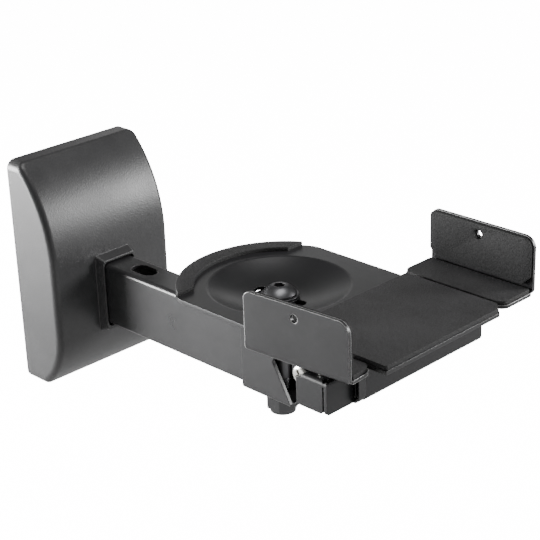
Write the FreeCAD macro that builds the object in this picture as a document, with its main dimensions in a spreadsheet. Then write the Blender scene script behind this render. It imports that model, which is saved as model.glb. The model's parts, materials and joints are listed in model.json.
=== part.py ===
import FreeCAD, Part
import math
import os
import re
import Sketcher

# Speaker wall bracket: a box arm on a wall plate carries a tray on a dished pivot,
# and two lipped clamps slide in a channel under the tray to hold a loudspeaker.
# Millimetres. The origin is on the wall at the arm's axis, +X leaves the wall,
# +Y is the far side of the tray and +Z is up.

document = FreeCAD.newDocument("speaker_wall_bracket")
sheet = document.addObject("Spreadsheet::Sheet", "sizes")

DRIVING_SIZES = {
    # Arm
    "arm_width": 23,
    "arm_height": 41,
    "arm_wall": 2,
    "arm_corner": 2.6,
    "pivot_reach": 190,
    "arm_end_gap": 7,
    "cable_hole_reach": 70,
    "cable_hole_length": 20,
    "cable_hole_width": 11.4,
    # Wall plate and its screws
    "plate_thickness": 3,
    "plate_width": 72,
    "plate_height": 128,
    "plate_rise": 14,
    "plate_corner": 6,
    "wall_hole_radius": 3,
    "wall_hole_spread": 50,
    "wall_hole_height": 90,
    "cable_window_margin": 3,
    # Wall cover
    "cover_width": 95,
    "cover_top": 90.7,
    "cover_bottom": 60.5,
    "cover_depth": 38.5,
    "cover_top_depth": 11,
    "cover_bottom_depth": 17,
    "crown_start": 26,
    "nose_start": 20,
    "cover_wall": 2.4,
    "cover_side_round": 4,
    "cover_corner": 6,
    "collar_base_width": 30,
    "collar_base_height": 55,
    "collar_nose_width": 26,
    "collar_nose_height": 48,
    "collar_reach": 45.1,
    "collar_drop": 1,
    "collar_side_gap": 0.6,
    "collar_top_gap": 1.6,
    "collar_corner": 2.2,
    "grip_rib_height": 8,
    # Bracket at the arm's end
    "bracket_wall": 2.3,
    "bracket_weld_gap": 0,
    "bracket_back": 21,
    "bracket_front": 19.6,
    "bracket_corner": 3,
    "waist_reach": 6,
    "waist_height": 3,
    # Pivot bolt, seat, washers and nut
    "bolt_radius": 5,
    "bolt_clearance": 0.3,
    "bolt_tail": 1.5,
    "head_radius": 10,
    "head_height": 5.5,
    "head_rim": 1.1,
    "head_dome_radius": 12.3,
    "socket_flats": 6,
    "socket_depth": 3.4,
    "seat_radius": 19,
    "seat_foot_radius": 13.2,
    "seat_lip": 4.5,
    "dished_washer_radius": 11.5,
    "dished_washer_height": 1.9,
    "head_washer_radius": 11.2,
    "head_washer_thickness": 1.4,
    "bottom_washer_radius": 10.5,
    "bottom_washer_thickness": 2,
    "nut_flats": 17,
    "nut_height": 8,
    "nut_crown_radius": 7.7,
    "nut_crown_height": 2.6,
    "insert_radius": 6.5,
    "insert_fit": 0,
    "thread_fit": -0.05,
    # Tray plate and its dish
    "tray_level": 43.4,
    "tray_thickness": 2.2,
    "tray_near_side": 52.4,
    "tray_far_side": 55.2,
    "tray_notch_side": 43.5,
    "tray_notch_start": 42,
    "tray_front": 118.3,
    "tray_rear_radius": 59.7,
    "tray_side_round": 12,
    "tray_corner_cut": 5,
    "dish_radius": 95,
    "dish_floor": 36,
    "dish_rim_round": 3.5,
    "tilt_limit": 8,
    "seat_gap": 0.3,
    # Foam pads
    "pad_thickness": 2.7,
    "rim_pad_width": 10.7,
    "rim_pad_end": 30.5,
    "front_pad_start": 48.2,
    "pad_margin": 0.4,
    # Guide channel, liner and slides
    "channel_back": 52.3,
    "channel_front": 100.3,
    "channel_wall": 2.2,
    "channel_bottom": 20.5,
    "channel_near_end": 38.7,
    "channel_far_end": 58.4,
    "channel_return": 19,
    "liner_wall": 1.2,
    "liner_proud": 5.5,
    "slide_gap": 0.3,
    "slide_wall": 2,
    "slide_bottom": 20.8,
    "slide_half_gap": 4.3,
    "slide_end_inset": 2,
    "slide_ear": 3.3,
    "flange_corner": 1.9,
    "near_slide_inner_end": 16,
    "far_slide_inner_end": 10,
    "slide_slit": 1,
    "relief_radius": 1.6,
    "rivet_radius": 2.5,
    "rivet_fit": 0.05,
    "rivet_inset": 14,
    # Clamps
    "near_lip": 66.5,
    "far_lip": 88.3,
    "near_toe": 4.6,
    "near_back": 42.6,
    "near_front": 111.6,
    "far_back": 41.2,
    "far_front": 113.9,
    "lip_top": 77.2,
    "lip_wall": 2,
    "lip_bend": 3.4,
    "lip_back_corner": 4.3,
    "lip_foot_corner": 3.6,
    "lip_front_corner": 7,
    "shelf_level": 42.4,
    "near_shelf_width": 20,
    "far_shelf_width": 29.3,
    "shelf_corner": 6,
    "lip_hole_radius": 2.4,
    "lip_hole_reach": 76.5,
    "lip_hole_level": 70.3,
    "clamp_pad_thickness": 2.4,
    "lip_pad_foot": 4.2,
    "lip_pad_inset": 0.7,
    "lip_pad_cut": 5,
    "spacer_radius": 3.2,
    "spacer_spread": 7,
    "spacer_inset": 13.5,
    # Clamp screw
    "screw_radius": 3,
    "screw_reach": 74,
    "screw_level": 35,
    "screw_head_radius": 6.1,
    "screw_head_height": 4.2,
    "screw_washer_radius": 6.6,
    "screw_washer_thickness": 1.2,
    "screw_fit": 0.08,
    "screw_hole_gap": 0.4,
    "lug_setback": 10.9,
    "lug_wall": 2,
    "lug_drop": 7.5,
    "lug_half_width": 4,
    "head_notch_gap": 0.8,
    "far_lug_reach": 12,
    "screw_end": 80,
    "clamp_nut_length": 8,
}

for row, (alias, size) in enumerate(DRIVING_SIZES.items(), start=1):
    sheet.set("A%d" % row, alias)
    sheet.set("B%d" % row, str(size))
    sheet.setAlias("B%d" % row, alias)
document.recompute()

SHEET_FUNCTIONS = {"sqrt", "sin", "cos", "tan", "deg"}


def bound(expression):
    """Return an expression with each size word pointed at the sheet."""
    def point(match):
        word = match.group()
        return word if word in SHEET_FUNCTIONS else "sizes." + word
    return re.sub(r"[a-z][a-z_]+", point, expression)


def value(expression):
    """Return the number that an expression over the sheet gives now."""
    return float(sheet.evalExpression(bound(expression)))


def tie(thing, **expressions):
    """Bind properties of an object to expressions over the sheet."""
    for name, expression in expressions.items():
        thing.setExpression(name.replace("__", "."), bound(expression))
    return thing


def place(thing, x="0", y="0", z="0"):
    """Bind an object's position."""
    return tie(thing, Placement__Base__x=x, Placement__Base__y=y, Placement__Base__z=z)


def block(name, x_span, y_span, z_span):
    """A box between two expressions along each axis."""
    box = document.addObject("Part::Box", name)
    lengths = ["(%s) - (%s)" % (high, low) for low, high in (x_span, y_span, z_span)]
    tie(box, Length=lengths[0], Width=lengths[1], Height=lengths[2])
    return place(box, x_span[0], y_span[0], z_span[0])


TURNS = {
    "X": FreeCAD.Rotation(FreeCAD.Vector(0, 1, 0), 90),
    "Y": FreeCAD.Rotation(FreeCAD.Vector(1, 0, 0), -90),
    "Z": FreeCAD.Rotation(),
}


def rod(name, axis, radius, length, x="0", y="0", z="0"):
    """A cylinder that starts at a point and runs along an axis."""
    cylinder = document.addObject("Part::Cylinder", name)
    cylinder.Placement.Rotation = TURNS[axis]
    tie(cylinder, Radius=radius, Height=length)
    return place(cylinder, x, y, z)


def ball(name, radius, x="0", y="0", z="0"):
    """A sphere about a point."""
    return place(tie(document.addObject("Part::Sphere", name), Radius=radius), x, y, z)


def hexagon(name, axis, flats, length, x="0", y="0", z="0"):
    """A six-sided prism of a given size across its flats."""
    prism = document.addObject("Part::Prism", name)
    prism.Polygon = 6
    prism.Placement.Rotation = TURNS[axis]
    tie(prism, Circumradius="(%s) / sqrt(3)" % flats, Height=length)
    return place(prism, x, y, z)


def cut(name, base, *tools):
    """A base less one or more tools."""
    result = base
    for number, tool in enumerate(tools):
        last = number == len(tools) - 1
        step = document.addObject("Part::Cut", name if last else "%s_cut%d" % (name, number))
        step.Base = result
        step.Tool = tool
        result = step
    document.recompute()
    return result


def fuse(name, *pieces):
    """Several pieces made one."""
    result = document.addObject("Part::MultiFuse", name)
    result.Shapes = list(pieces)
    result.Refine = True
    document.recompute()
    return result


def common(name, *pieces):
    """What several pieces share."""
    result = document.addObject("Part::MultiCommon", name)
    result.Shapes = list(pieces)
    document.recompute()
    return result


def rounded(name, base, radius, wanted, kind="Part::Fillet"):
    """A base with the edges that a test picks rounded or chamfered."""
    document.recompute()
    result = document.addObject(kind, name)
    result.Base = base
    size = value(radius)
    picked = [number for number, edge in enumerate(base.Shape.Edges, start=1)
              if not edge.Degenerated and wanted(edge)]
    result.Edges = [(number, size, size) for number in picked]
    document.recompute()
    return result


def runs_along(edge, axis):
    """Whether a straight edge is parallel to an axis."""
    if not isinstance(edge.Curve, Part.Line):
        return False
    return abs(getattr(edge.tangentAt(edge.FirstParameter), axis)) > 0.999


def middle(edge):
    """The point halfway along an edge."""
    return edge.valueAt((edge.FirstParameter + edge.LastParameter) / 2)


def near(number, expression, slack=0.05):
    """Whether a number equals a size."""
    return abs(number - value(expression)) < slack


def panel(name, plane_role, corners, thickness, start="0", backward=False):
    """A padded outline: straight sides between corners given as expressions."""
    body = document.addObject("PartDesign::Body", name)
    sketch = body.newObject("Sketcher::SketchObject", name + "_outline")
    plane = [item for item in body.Origin.OriginFeatures if item.Role == plane_role][0]
    sketch.AttachmentSupport = [(plane, "")]
    sketch.MapMode = "FlatFace"
    tie(sketch, AttachmentOffset__Base__z=start)
    points = [FreeCAD.Vector(value(across), value(along), 0) for across, along in corners]
    for index, point in enumerate(points):
        sketch.addGeometry(Part.LineSegment(point, points[(index + 1) % len(points)]), False)
    for index in range(len(points)):
        following = (index + 1) % len(points)
        sketch.addConstraint(Sketcher.Constraint("Coincident", index, 2, following, 1))
    for index, corner in enumerate(corners):
        for kind, number, expression in (("DistanceX", points[index].x, corner[0]),
                                         ("DistanceY", points[index].y, corner[1])):
            rule = Sketcher.Constraint(kind, -1, 1, index, 1, number)
            place_in_list = sketch.addConstraint(rule)
            sketch.setExpression("Constraints[%d]" % place_in_list, bound(expression))
    pad = body.newObject("PartDesign::Pad", name + "_pad")
    pad.Profile = sketch
    pad.Reversed = backward
    tie(pad, Length=thickness)
    document.recompute()
    return body


NODES = []


def keep(thing, label):
    """Name a finished sub-part after its node."""
    thing.Label = label
    NODES.append(thing)
    return thing


# Words used in several places

PIVOT = "pivot_reach"
BRACKET_SIDE = "arm_width / 2 + bracket_weld_gap + bracket_wall"
BRACKET_TOP = "arm_height / 2 + bracket_weld_gap + bracket_wall"
DISH_CENTRE = "dish_floor + dish_radius"
TRAY_TOP = "tray_level + tray_thickness"
PAD_TOP = TRAY_TOP + " + pad_thickness"
WASHER_TOP = "dish_floor + seat_gap + dished_washer_height"
HEAD_BASE = WASHER_TOP + " + head_washer_thickness"
WEB_UNDER = "tray_level - channel_wall"
LINER_UNDER = WEB_UNDER + " - liner_wall"
SLIDE_TOP = LINER_UNDER + " - slide_gap"
SLIDE_FRONT = "channel_front - channel_wall - liner_wall - slide_gap"
SLIDE_BACK = "channel_back + channel_wall + liner_wall + slide_gap"


def ahead(expression):
    """A distance ahead of the pivot, measured from the wall."""
    return "%s + %s" % (PIVOT, expression)


# Wall plate

def wall_plate():
    half = "plate_width / 2"
    low = "plate_rise - plate_height / 2"
    high = "plate_rise + plate_height / 2"
    sheet_steel = block("plate_blank", ("0", "plate_thickness"), ("-" + half, half), (low, high))
    plate = rounded("plate_rounded", sheet_steel, "plate_corner", lambda edge: runs_along(edge, "x"))
    tools = []
    for side in ("-", ""):
        for rise in ("-", ""):
            across = side + "wall_hole_spread / 2"
            up = rise + "wall_hole_height / 2"
            tools.append(rod("wall_hole", "X", "wall_hole_radius", "plate_thickness + 2",
                             "-1", across, up))
    side = "arm_width / 2 - arm_wall - cable_window_margin / 2"
    up = "arm_height / 2 - arm_wall - cable_window_margin"
    tools.append(block("cable_window", ("-1", "plate_thickness + 1"), ("-(%s)" % side, side),
                       ("-(%s)" % up, up)))
    keep(cut("wall_plate", plate, *tools), "wall_plate")


# Wall cover: a moulded shell with a crowned front, hollow at the back

def cover_form(name, inset, base="0"):
    """The crowned block: an arc above, a flat middle and a tighter arc below."""
    half = "(cover_width / 2 - %s)" % inset
    front = "(cover_depth - %s)" % inset
    top = "(cover_top - %s)" % inset
    bottom = "(-cover_bottom + %s)" % inset
    upper_fall = "(cover_depth - cover_top_depth)"
    upper_rise = "(cover_top - crown_start)"
    lower_fall = "(cover_depth - cover_bottom_depth)"
    lower_rise = "(cover_bottom - nose_start)"
    upper_round = "((%s * %s + %s * %s) / (2 * %s))" % (upper_fall, upper_fall, upper_rise,
                                                       upper_rise, upper_fall)
    lower_round = "((%s * %s + %s * %s) / (2 * %s))" % (lower_fall, lower_fall, lower_rise,
                                                       lower_rise, lower_fall)
    spans = (base, front), ("-" + half, half)
    upper = common(name + "_upper",
                   block(name + "_upper_block", *spans, ("crown_start", top)),
                   rod(name + "_crown", "Y", "%s - %s" % (upper_round, inset), "cover_width",
                       "cover_depth - %s" % upper_round, "-cover_width / 2", "crown_start"))
    lower = common(name + "_lower",
                   block(name + "_lower_block", *spans, (bottom, "-nose_start")),
                   rod(name + "_nose", "Y", "%s - %s" % (lower_round, inset), "cover_width",
                       "cover_depth - %s" % lower_round, "-cover_width / 2", "-nose_start"))
    centre = block(name + "_centre", *spans, ("-nose_start", "crown_start"))
    return fuse(name, upper, lower, centre)


def tapered_block(name, x_span, base_sizes, nose_sizes, level):
    """A draughted block that narrows away from the wall."""
    wedge = document.addObject("Part::Wedge", name)
    wedge.Placement.Rotation = FreeCAD.Rotation(FreeCAD.Vector(0, 0, 1), -90)
    tie(wedge, Ymin="0", Ymax="(%s) - (%s)" % (x_span[1], x_span[0]),
        Xmin="-(%s) / 2" % base_sizes[0], Xmax="(%s) / 2" % base_sizes[0],
        Zmin="-(%s) / 2" % base_sizes[1], Zmax="(%s) / 2" % base_sizes[1],
        X2min="-(%s) / 2" % nose_sizes[0], X2max="(%s) / 2" % nose_sizes[0],
        Z2min="-(%s) / 2" % nose_sizes[1], Z2max="(%s) / 2" % nose_sizes[1])
    return place(wedge, x_span[0], "0", level)


def wall_cover():
    outer = cover_form("cover_outer", "0")
    side = value("cover_width / 2")

    def end_corner(edge):
        return runs_along(edge, "x") and abs(abs(middle(edge).y) - side) < 0.05 and (
            near(middle(edge).z, "cover_top") or near(middle(edge).z, "-cover_bottom"))
    outer = rounded("cover_soft_corners", outer, "cover_corner", end_corner)

    def front_edge(edge):
        point = middle(edge)
        on_seam = near(point.z, "crown_start") or near(point.z, "-nose_start")
        return point.x > 1 and not runs_along(edge, "x") and not (
            on_seam and runs_along(edge, "y"))
    outer = rounded("cover_soft_front", outer, "cover_side_round", front_edge)
    inner = cover_form("cover_inner", "cover_wall", "-1")
    collar = tapered_block("collar", ("cover_depth - 1.5 * cover_wall", "collar_reach"),
                           ("collar_base_width", "collar_base_height"),
                           ("collar_nose_width", "collar_nose_height"), "-collar_drop / 2")
    collar = rounded("collar_soft", collar, "collar_corner",
                     lambda edge: not near(middle(edge).x, "collar_reach")
                     and middle(edge).x > value("cover_depth - 1.5 * cover_wall") + 0.5)
    shell = fuse("cover_shell", cut("cover_hollow", outer, inner), collar)
    across = "(arm_width / 2 + collar_side_gap)"
    up = "(arm_height / 2 + collar_top_gap)"
    opening = block("collar_opening", ("cover_depth / 2", "collar_reach + 1"),
                    ("-" + across, across), ("-%s" % up, up))
    opening = rounded("collar_opening_soft", opening, "arm_corner",
                      lambda edge: runs_along(edge, "x"))
    ribs = [block("grip_rib", ("cover_depth - cover_wall", "cover_depth + cover_wall"),
                  span, ("-grip_rib_height / 2", "grip_rib_height / 2"))
            for span in (("arm_width / 2", across + " + 0.5"),
                         ("-%s - 0.5" % across, "-arm_width / 2"))]
    keep(fuse("wall_cover", cut("cover_open", shell, opening), *ribs), "wall_cover")


# Arm: a rectangular steel tube with a cable hole in its top

def arm_tube():
    x_span = ("plate_thickness", ahead("-arm_end_gap"))
    half = "(arm_width / 2)"
    up = "(arm_height / 2)"
    outer = rounded("tube_outer", block("tube_blank", x_span, ("-" + half, half), ("-" + up, up)),
                    "arm_corner", lambda edge: runs_along(edge, "x"))
    bore_half = "(arm_width / 2 - arm_wall)"
    bore_up = "(arm_height / 2 - arm_wall)"
    bore = rounded("tube_bore", block("tube_bore_blank", ("0", ahead("0")),
                                      ("-" + bore_half, bore_half), ("-" + bore_up, bore_up)),
                   "arm_corner - arm_wall", lambda edge: runs_along(edge, "x"))
    run = "(cable_hole_length - cable_hole_width) / 2"
    depth = "3 * arm_wall"
    ends = [rod("cable_hole_end", "Z", "cable_hole_width / 2", depth,
                "cable_hole_reach %s %s" % (sign, run), "0", "arm_height / 2 - 2 * arm_wall")
            for sign in ("-", "+")]
    slot = block("cable_hole_middle",
                 ("cable_hole_reach - %s" % run, "cable_hole_reach + %s" % run),
                 ("-cable_hole_width / 2", "cable_hole_width / 2"),
                 ("arm_height / 2 - 2 * arm_wall", "arm_height / 2 + arm_wall"))
    keep(cut("arm_tube", outer, bore, *ends, slot), "arm_tube")


# End bracket: a folded sleeve over the tube, its side walls waisted at the mouth

def arm_end_bracket():
    x_span = (ahead("-bracket_back"), ahead("bracket_front"))
    side = "(%s)" % BRACKET_SIDE
    up = "(%s)" % BRACKET_TOP
    blank = block("sleeve_blank", x_span, ("-" + side, side), ("-" + up, up))
    outer = rounded("sleeve_outer", blank, "bracket_corner", lambda edge: runs_along(edge, "x"))
    inner_half = "(arm_width / 2 + bracket_weld_gap)"
    inner_up = "(arm_height / 2 + bracket_weld_gap)"
    inner = block("sleeve_bore", (ahead("-bracket_back - 1"), ahead("bracket_front + 1")),
                  ("-" + inner_half, inner_half), ("-" + inner_up, inner_up))
    mouth = panel("sleeve_mouth", "XZ_Plane",
                  [(ahead("bracket_front + 1"), "-%s" % inner_up),
                   (ahead("bracket_front"), "-%s" % inner_up),
                   (ahead("waist_reach"), "waist_height"),
                   (ahead("bracket_front - 3"), inner_up),
                   (ahead("bracket_front + 1"), inner_up)],
                  "2 * %s + 2" % side, "-%s - 1" % side)
    hole = rod("sleeve_bolt_hole", "Z", "bolt_radius + bolt_clearance", "2 * %s + 2" % up,
               PIVOT, "0", "-%s - 1" % up)
    sleeve = cut("sleeve_open", outer, inner, mouth, hole)
    back = value(ahead("-bracket_back"))

    def foot_edge(edge):
        point = middle(edge)
        return runs_along(edge, "y") and abs(point.x - back) < 0.05 and near(point.z, "-" + up)
    keep(rounded("arm_end_bracket", sleeve, "bracket_wall * 0.6", foot_edge, "Part::Chamfer"),
         "arm_end_bracket")


# Pivot hardware

def pivot_bolt():
    drop = "sqrt(head_dome_radius * head_dome_radius - head_radius * head_radius)"
    dome = common("bolt_dome",
                  rod("bolt_head_blank", "Z", "head_radius", "head_height", PIVOT, "0", HEAD_BASE),
                  ball("bolt_dome_ball", "head_dome_radius", PIVOT, "0",
                       "%s + head_rim - %s" % (HEAD_BASE, drop)))
    foot = BRACKET_TOP + " + bottom_washer_thickness + nut_height + nut_crown_height + bolt_tail"
    shank = rod("bolt_shank", "Z", "bolt_radius", "%s + %s + 1" % (HEAD_BASE, foot),
                PIVOT, "0", "-(%s)" % foot)
    socket = hexagon("bolt_socket", "Z", "socket_flats", "socket_depth + 1", PIVOT, "0",
                     "%s + head_height - socket_depth" % HEAD_BASE)
    bolt = cut("bolt_whole", fuse("bolt_solid", dome, shank), socket)
    tip = "-(%s)" % foot
    keep(rounded("pivot_bolt", bolt, "bolt_radius / 8",
                 lambda edge: isinstance(edge.Curve, Part.Circle) and near(middle(edge).z, tip),
                 "Part::Chamfer"), "pivot_bolt")


def washer(label, radius, thickness, level, bore="bolt_radius + bolt_clearance"):
    """A flat ring about the pivot."""
    disc = rod(label + "_disc", "Z", radius, thickness, PIVOT, "0", level)
    hole = rod(label + "_bore", "Z", bore, "%s + 2" % thickness, PIVOT, "0", "%s - 1" % level)
    ring = cut(label + "_ring", disc, hole)
    outer = value(radius)
    keep(rounded(label, ring, "(%s) / 6" % thickness,
                 lambda edge: isinstance(edge.Curve, Part.Circle)
                 and abs(edge.Curve.Radius - outer) < 0.01, "Part::Chamfer"), label)


def dished_washer():
    disc = rod("dished_disc", "Z", "dished_washer_radius", "dished_washer_height + 1", PIVOT, "0",
               "%s - dished_washer_height - 1" % WASHER_TOP)
    under = ball("dished_ball", "dish_radius - seat_gap", PIVOT, "0", DISH_CENTRE)
    bore = rod("dished_bore", "Z", "bolt_radius + bolt_clearance", "dished_washer_height + 4",
               PIVOT, "0", "%s - dished_washer_height - 2" % WASHER_TOP)
    keep(cut("dished_washer", common("dished_form", disc, under), bore), "dished_washer")


def pivot_seat():
    """A turned cup: a foot on the bracket and a lip hollowed to the dish's underside."""
    foot = BRACKET_TOP
    height = "dish_floor - (%s)" % foot
    column = rod("seat_column", "Z", "seat_foot_radius", height, PIVOT, "0", foot)
    lip = rod("seat_lip_disc", "Z", "seat_radius", "seat_lip + 2", PIVOT, "0",
              "dish_floor - tray_thickness - seat_lip")
    hollow = ball("seat_hollow", "dish_radius + tray_thickness + seat_gap", PIVOT, "0", DISH_CENTRE)
    bore = rod("seat_bore", "Z", "bolt_radius + bolt_clearance", height + " + 4", PIVOT, "0",
               "%s - 1" % foot)
    seat = cut("seat_whole", fuse("seat_solid", column, lip), hollow, bore)
    rim = value("seat_radius")
    keep(rounded("pivot_seat", seat, "seat_lip / 4",
                 lambda edge: isinstance(edge.Curve, Part.Circle)
                 and abs(edge.Curve.Radius - rim) < 0.01
                 and near(middle(edge).z, "dish_floor - tray_thickness - seat_lip")),
         "pivot_seat")


def lock_nut():
    top = "-(%s) - bottom_washer_thickness" % BRACKET_TOP
    hexed = hexagon("nut_hex", "Z", "nut_flats", "nut_height", PIVOT, "0", "%s - nut_height" % top)
    soften = ball("nut_soften", "nut_flats * 0.66", PIVOT, "0", "%s - nut_height * 0.45" % top)
    crown = rod("nut_crown", "Z", "nut_crown_radius", "nut_crown_height + 0.5", PIVOT, "0",
                "%s - nut_height - nut_crown_height" % top)
    bore = rod("nut_bore", "Z", "bolt_radius + thread_fit", "nut_height + nut_crown_height + 2",
               PIVOT, "0", "%s - nut_height - nut_crown_height - 1" % top)
    pocket = rod("nut_pocket", "Z", "insert_radius + insert_fit", "nut_crown_height + 1", PIVOT,
                 "0", "%s - nut_height - nut_crown_height - 1" % top)
    body = fuse("nut_solid", common("nut_soft_hex", hexed, soften), crown)
    keep(cut("lock_nut", body, bore, pocket), "lock_nut")
    ring = rod("insert_disc", "Z", "insert_radius", "nut_crown_height - 0.4", PIVOT, "0",
               "%s - nut_height - nut_crown_height + 0.4" % top)
    hole = rod("insert_bore", "Z", "bolt_radius + thread_fit", "nut_crown_height + 2", PIVOT, "0",
               "%s - nut_height - nut_crown_height - 1" % top)
    keep(cut("nut_insert", ring, hole), "nut_insert")


# Tray plate: a flat sheet with a round back, a pressed dish and the bolt's slot

def tray_outline(name, side_inset, top, bottom):
    """The tray's flat form between two levels, as a solid."""
    height = "(%s) - (%s)" % (top, bottom)
    far = "(tray_far_side - %s)" % side_inset
    near_side = "-(tray_near_side - %s)" % side_inset
    rear = rod(name + "_rear", "Z", "tray_rear_radius - %s" % side_inset, height, PIVOT, "0", bottom)
    band = block(name + "_band", (ahead("-tray_rear_radius"), ahead("tray_notch_start")),
                 (near_side, far), (bottom, top))
    back = common(name + "_back", rear, band)
    straight = block(name + "_straight", (ahead("0"), ahead("tray_notch_start")),
                     (near_side, far), (bottom, top))
    front = block(name + "_front",
                  (ahead("tray_notch_start - 1"), ahead("tray_front - %s" % side_inset)),
                  ("-tray_notch_side + %s" % side_inset, far), (bottom, top))
    whole = fuse(name + "_whole", back, straight, front)

    def shoulder_edge(edge):
        return runs_along(edge, "z") and middle(edge).x < value(PIVOT)
    soft = rounded(name + "_shoulders", whole, "tray_side_round", shoulder_edge)

    def front_corner(edge):
        point = middle(edge)
        return runs_along(edge, "z") and point.y > 0 and near(point.x,
                                                              ahead("tray_front - %s" % side_inset))
    return rounded(name, soft, "tray_corner_cut", front_corner, "Part::Chamfer")


def rivet_spots():
    """The four rivets that hold the guide channel to the tray."""
    xs = [ahead("channel_back + rivet_inset / 2"), ahead("channel_front - rivet_inset / 2")]
    ys = ["-channel_near_end + rivet_inset", "channel_far_end - rivet_inset"]
    return [(x, y) for x in xs for y in ys]


def tray_plate():
    flat = tray_outline("tray_flat", "0", TRAY_TOP, "tray_level")
    under = ball("dish_outer", "dish_radius + tray_thickness", PIVOT, "0", DISH_CENTRE)
    depth = "tray_level - dish_floor + tray_thickness"
    drum = rod("dish_drum", "Z", "tray_near_side - 4", depth, PIVOT, "0",
               "dish_floor - tray_thickness")
    bowl = common("dish_bowl", under, drum)
    hollow = ball("dish_hollow", "dish_radius", PIVOT, "0", DISH_CENTRE)
    pressed = cut("tray_pressed", fuse("tray_solid", flat, bowl), hollow)
    rim = value("sqrt(dish_radius * dish_radius - (%s - (%s)) * (%s - (%s)))"
                % (DISH_CENTRE, TRAY_TOP, DISH_CENTRE, TRAY_TOP))
    pressed = rounded("tray_soft_rim", pressed, "dish_rim_round",
                      lambda edge: isinstance(edge.Curve, Part.Circle)
                      and abs(edge.Curve.Radius - rim) < 0.05 and near(middle(edge).z, TRAY_TOP))
    run = "((dish_radius + tray_thickness) * sin(tilt_limit * 1 deg) + 0.2)"
    slot_radius = "bolt_radius + bolt_clearance"
    reach = "2 * tray_thickness + 6"
    level = "dish_floor - tray_thickness - 2"
    ends = [rod("slot_end", "Z", slot_radius, reach, ahead(sign + run), "0", level)
            for sign in ("-", "")]
    run_block = block("slot_run", (ahead("-" + run), ahead(run)),
                      ("-(%s)" % slot_radius, slot_radius), (level, "%s + %s" % (level, reach)))
    holes = [rod("tray_rivet_hole", "Z", "rivet_radius + rivet_fit", "tray_thickness + 2", x, y,
                 "tray_level - 1") for x, y in rivet_spots()]
    keep(cut("tray_plate", pressed, *ends, run_block, *holes), "tray_plate")


def tray_pads():
    """Foam on the tray's round rim and over its front half."""
    rim_form = tray_outline("rim_pad_form", "pad_margin", PAD_TOP, TRAY_TOP)
    inner = rod("rim_pad_inner", "Z", "tray_rear_radius - rim_pad_width", "pad_thickness + 2",
                PIVOT, "0", "%s - 1" % TRAY_TOP)
    ahead_of_rim = block("rim_pad_limit", (ahead("-rim_pad_end"), ahead("tray_front + 1")),
                         ("-tray_near_side - 1", "tray_far_side + 1"),
                         ("%s - 1" % TRAY_TOP, "%s + 1" % PAD_TOP))
    keep(cut("rim_pad", rim_form, inner, ahead_of_rim), "rim_pad")
    front_form = tray_outline("front_pad_form", "pad_margin", PAD_TOP, TRAY_TOP)
    behind = block("front_pad_limit", (ahead("-tray_rear_radius - 1"), ahead("front_pad_start")),
                   ("-tray_near_side - 1", "tray_far_side + 1"),
                   ("%s - 1" % TRAY_TOP, "%s + 1" % PAD_TOP))
    keep(cut("front_pad", front_form, behind), "front_pad")


# Guide channel under the tray, its plastic liner and the rivets

def channel_form(name, inset, near_end, far_end, wall):
    """A box section open in a slot along its floor, as a folded strip gives."""
    back = "channel_back + %s" % inset
    front = "channel_front - %s" % inset
    top = "tray_level - %s" % inset
    bottom = "channel_bottom + %s" % inset
    outer = block(name + "_outer", (ahead(back), ahead(front)), ("-(%s)" % near_end, far_end),
                  (bottom, top))
    outer = rounded(name + "_folded", outer, "%s * 1.4" % wall,
                    lambda edge: runs_along(edge, "y"))
    inner = block(name + "_inner", (ahead("%s + %s" % (back, wall)), ahead("%s - %s" % (front, wall))),
                  ("-(%s) - 1" % near_end, "%s + 1" % far_end),
                  ("%s + %s" % (bottom, wall), "%s - %s" % (top, wall)))
    mouth = block(name + "_mouth", (ahead("channel_back + channel_return"),
                                    ahead("channel_front - channel_return")),
                  ("-(%s) - 1" % near_end, "%s + 1" % far_end),
                  ("%s - 1" % bottom, "%s + 2 * %s" % (bottom, wall)))
    return cut(name + "_section", outer, inner, mouth)


def guide_channel():
    form = channel_form("channel", "0", "channel_near_end", "channel_far_end", "channel_wall")
    holes = [rod("channel_rivet_hole", "Z", "rivet_radius + rivet_fit", "channel_wall + 2", x, y,
                 "%s - 1" % WEB_UNDER) for x, y in rivet_spots()]
    keep(cut("guide_channel", form, *holes), "guide_channel")


def slide_liner():
    """A lining strip, with a collar that caps the channel's near end."""
    lining = channel_form("liner", "channel_wall", "channel_near_end + liner_proud",
                          "channel_far_end", "liner_wall")
    collar = channel_form("collar_strip", "0", "channel_near_end + liner_proud",
                          "-1 * channel_near_end", "channel_wall + liner_wall")
    keep(fuse("slide_liner", lining, collar), "slide_liner")


def channel_rivets():
    pins = [rod("channel_rivet", "Z", "rivet_radius", "channel_wall + tray_thickness", x, y,
                WEB_UNDER) for x, y in rivet_spots()]
    keep(fuse("channel_rivets", *pins), "channel_rivets")


# Clamps. side is -1 for the near clamp and 1 for the far one.

def outward(side, expression):
    """A distance from the tray's middle line towards a clamp."""
    return "(%s(%s))" % ("" if side > 0 else "-1 * ", expression)


def span_out(side, inner, outer):
    """The two ends of a stretch towards a clamp, lower one first."""
    ends = [outward(side, inner), outward(side, outer)]
    return tuple(ends if side > 0 else reversed(ends))


def toed(thing):
    """Turn a near clamp piece in towards the tray's front, about its lip's middle."""
    middle_x = "(%s)" % ahead("(near_back + near_front) / 2")
    cosine, sine = "cos(near_toe * 1 deg)", "sin(near_toe * 1 deg)"
    thing.Placement.Rotation = FreeCAD.Rotation(FreeCAD.Vector(0, 0, 1), value("near_toe"))
    tie(thing, Placement__Rotation__Angle="near_toe * 1 deg")
    return place(thing, "%s * (1 - %s) - near_lip * %s" % (middle_x, cosine, sine),
                 "-near_lip * (1 - %s) - %s * %s" % (cosine, middle_x, sine))


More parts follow.
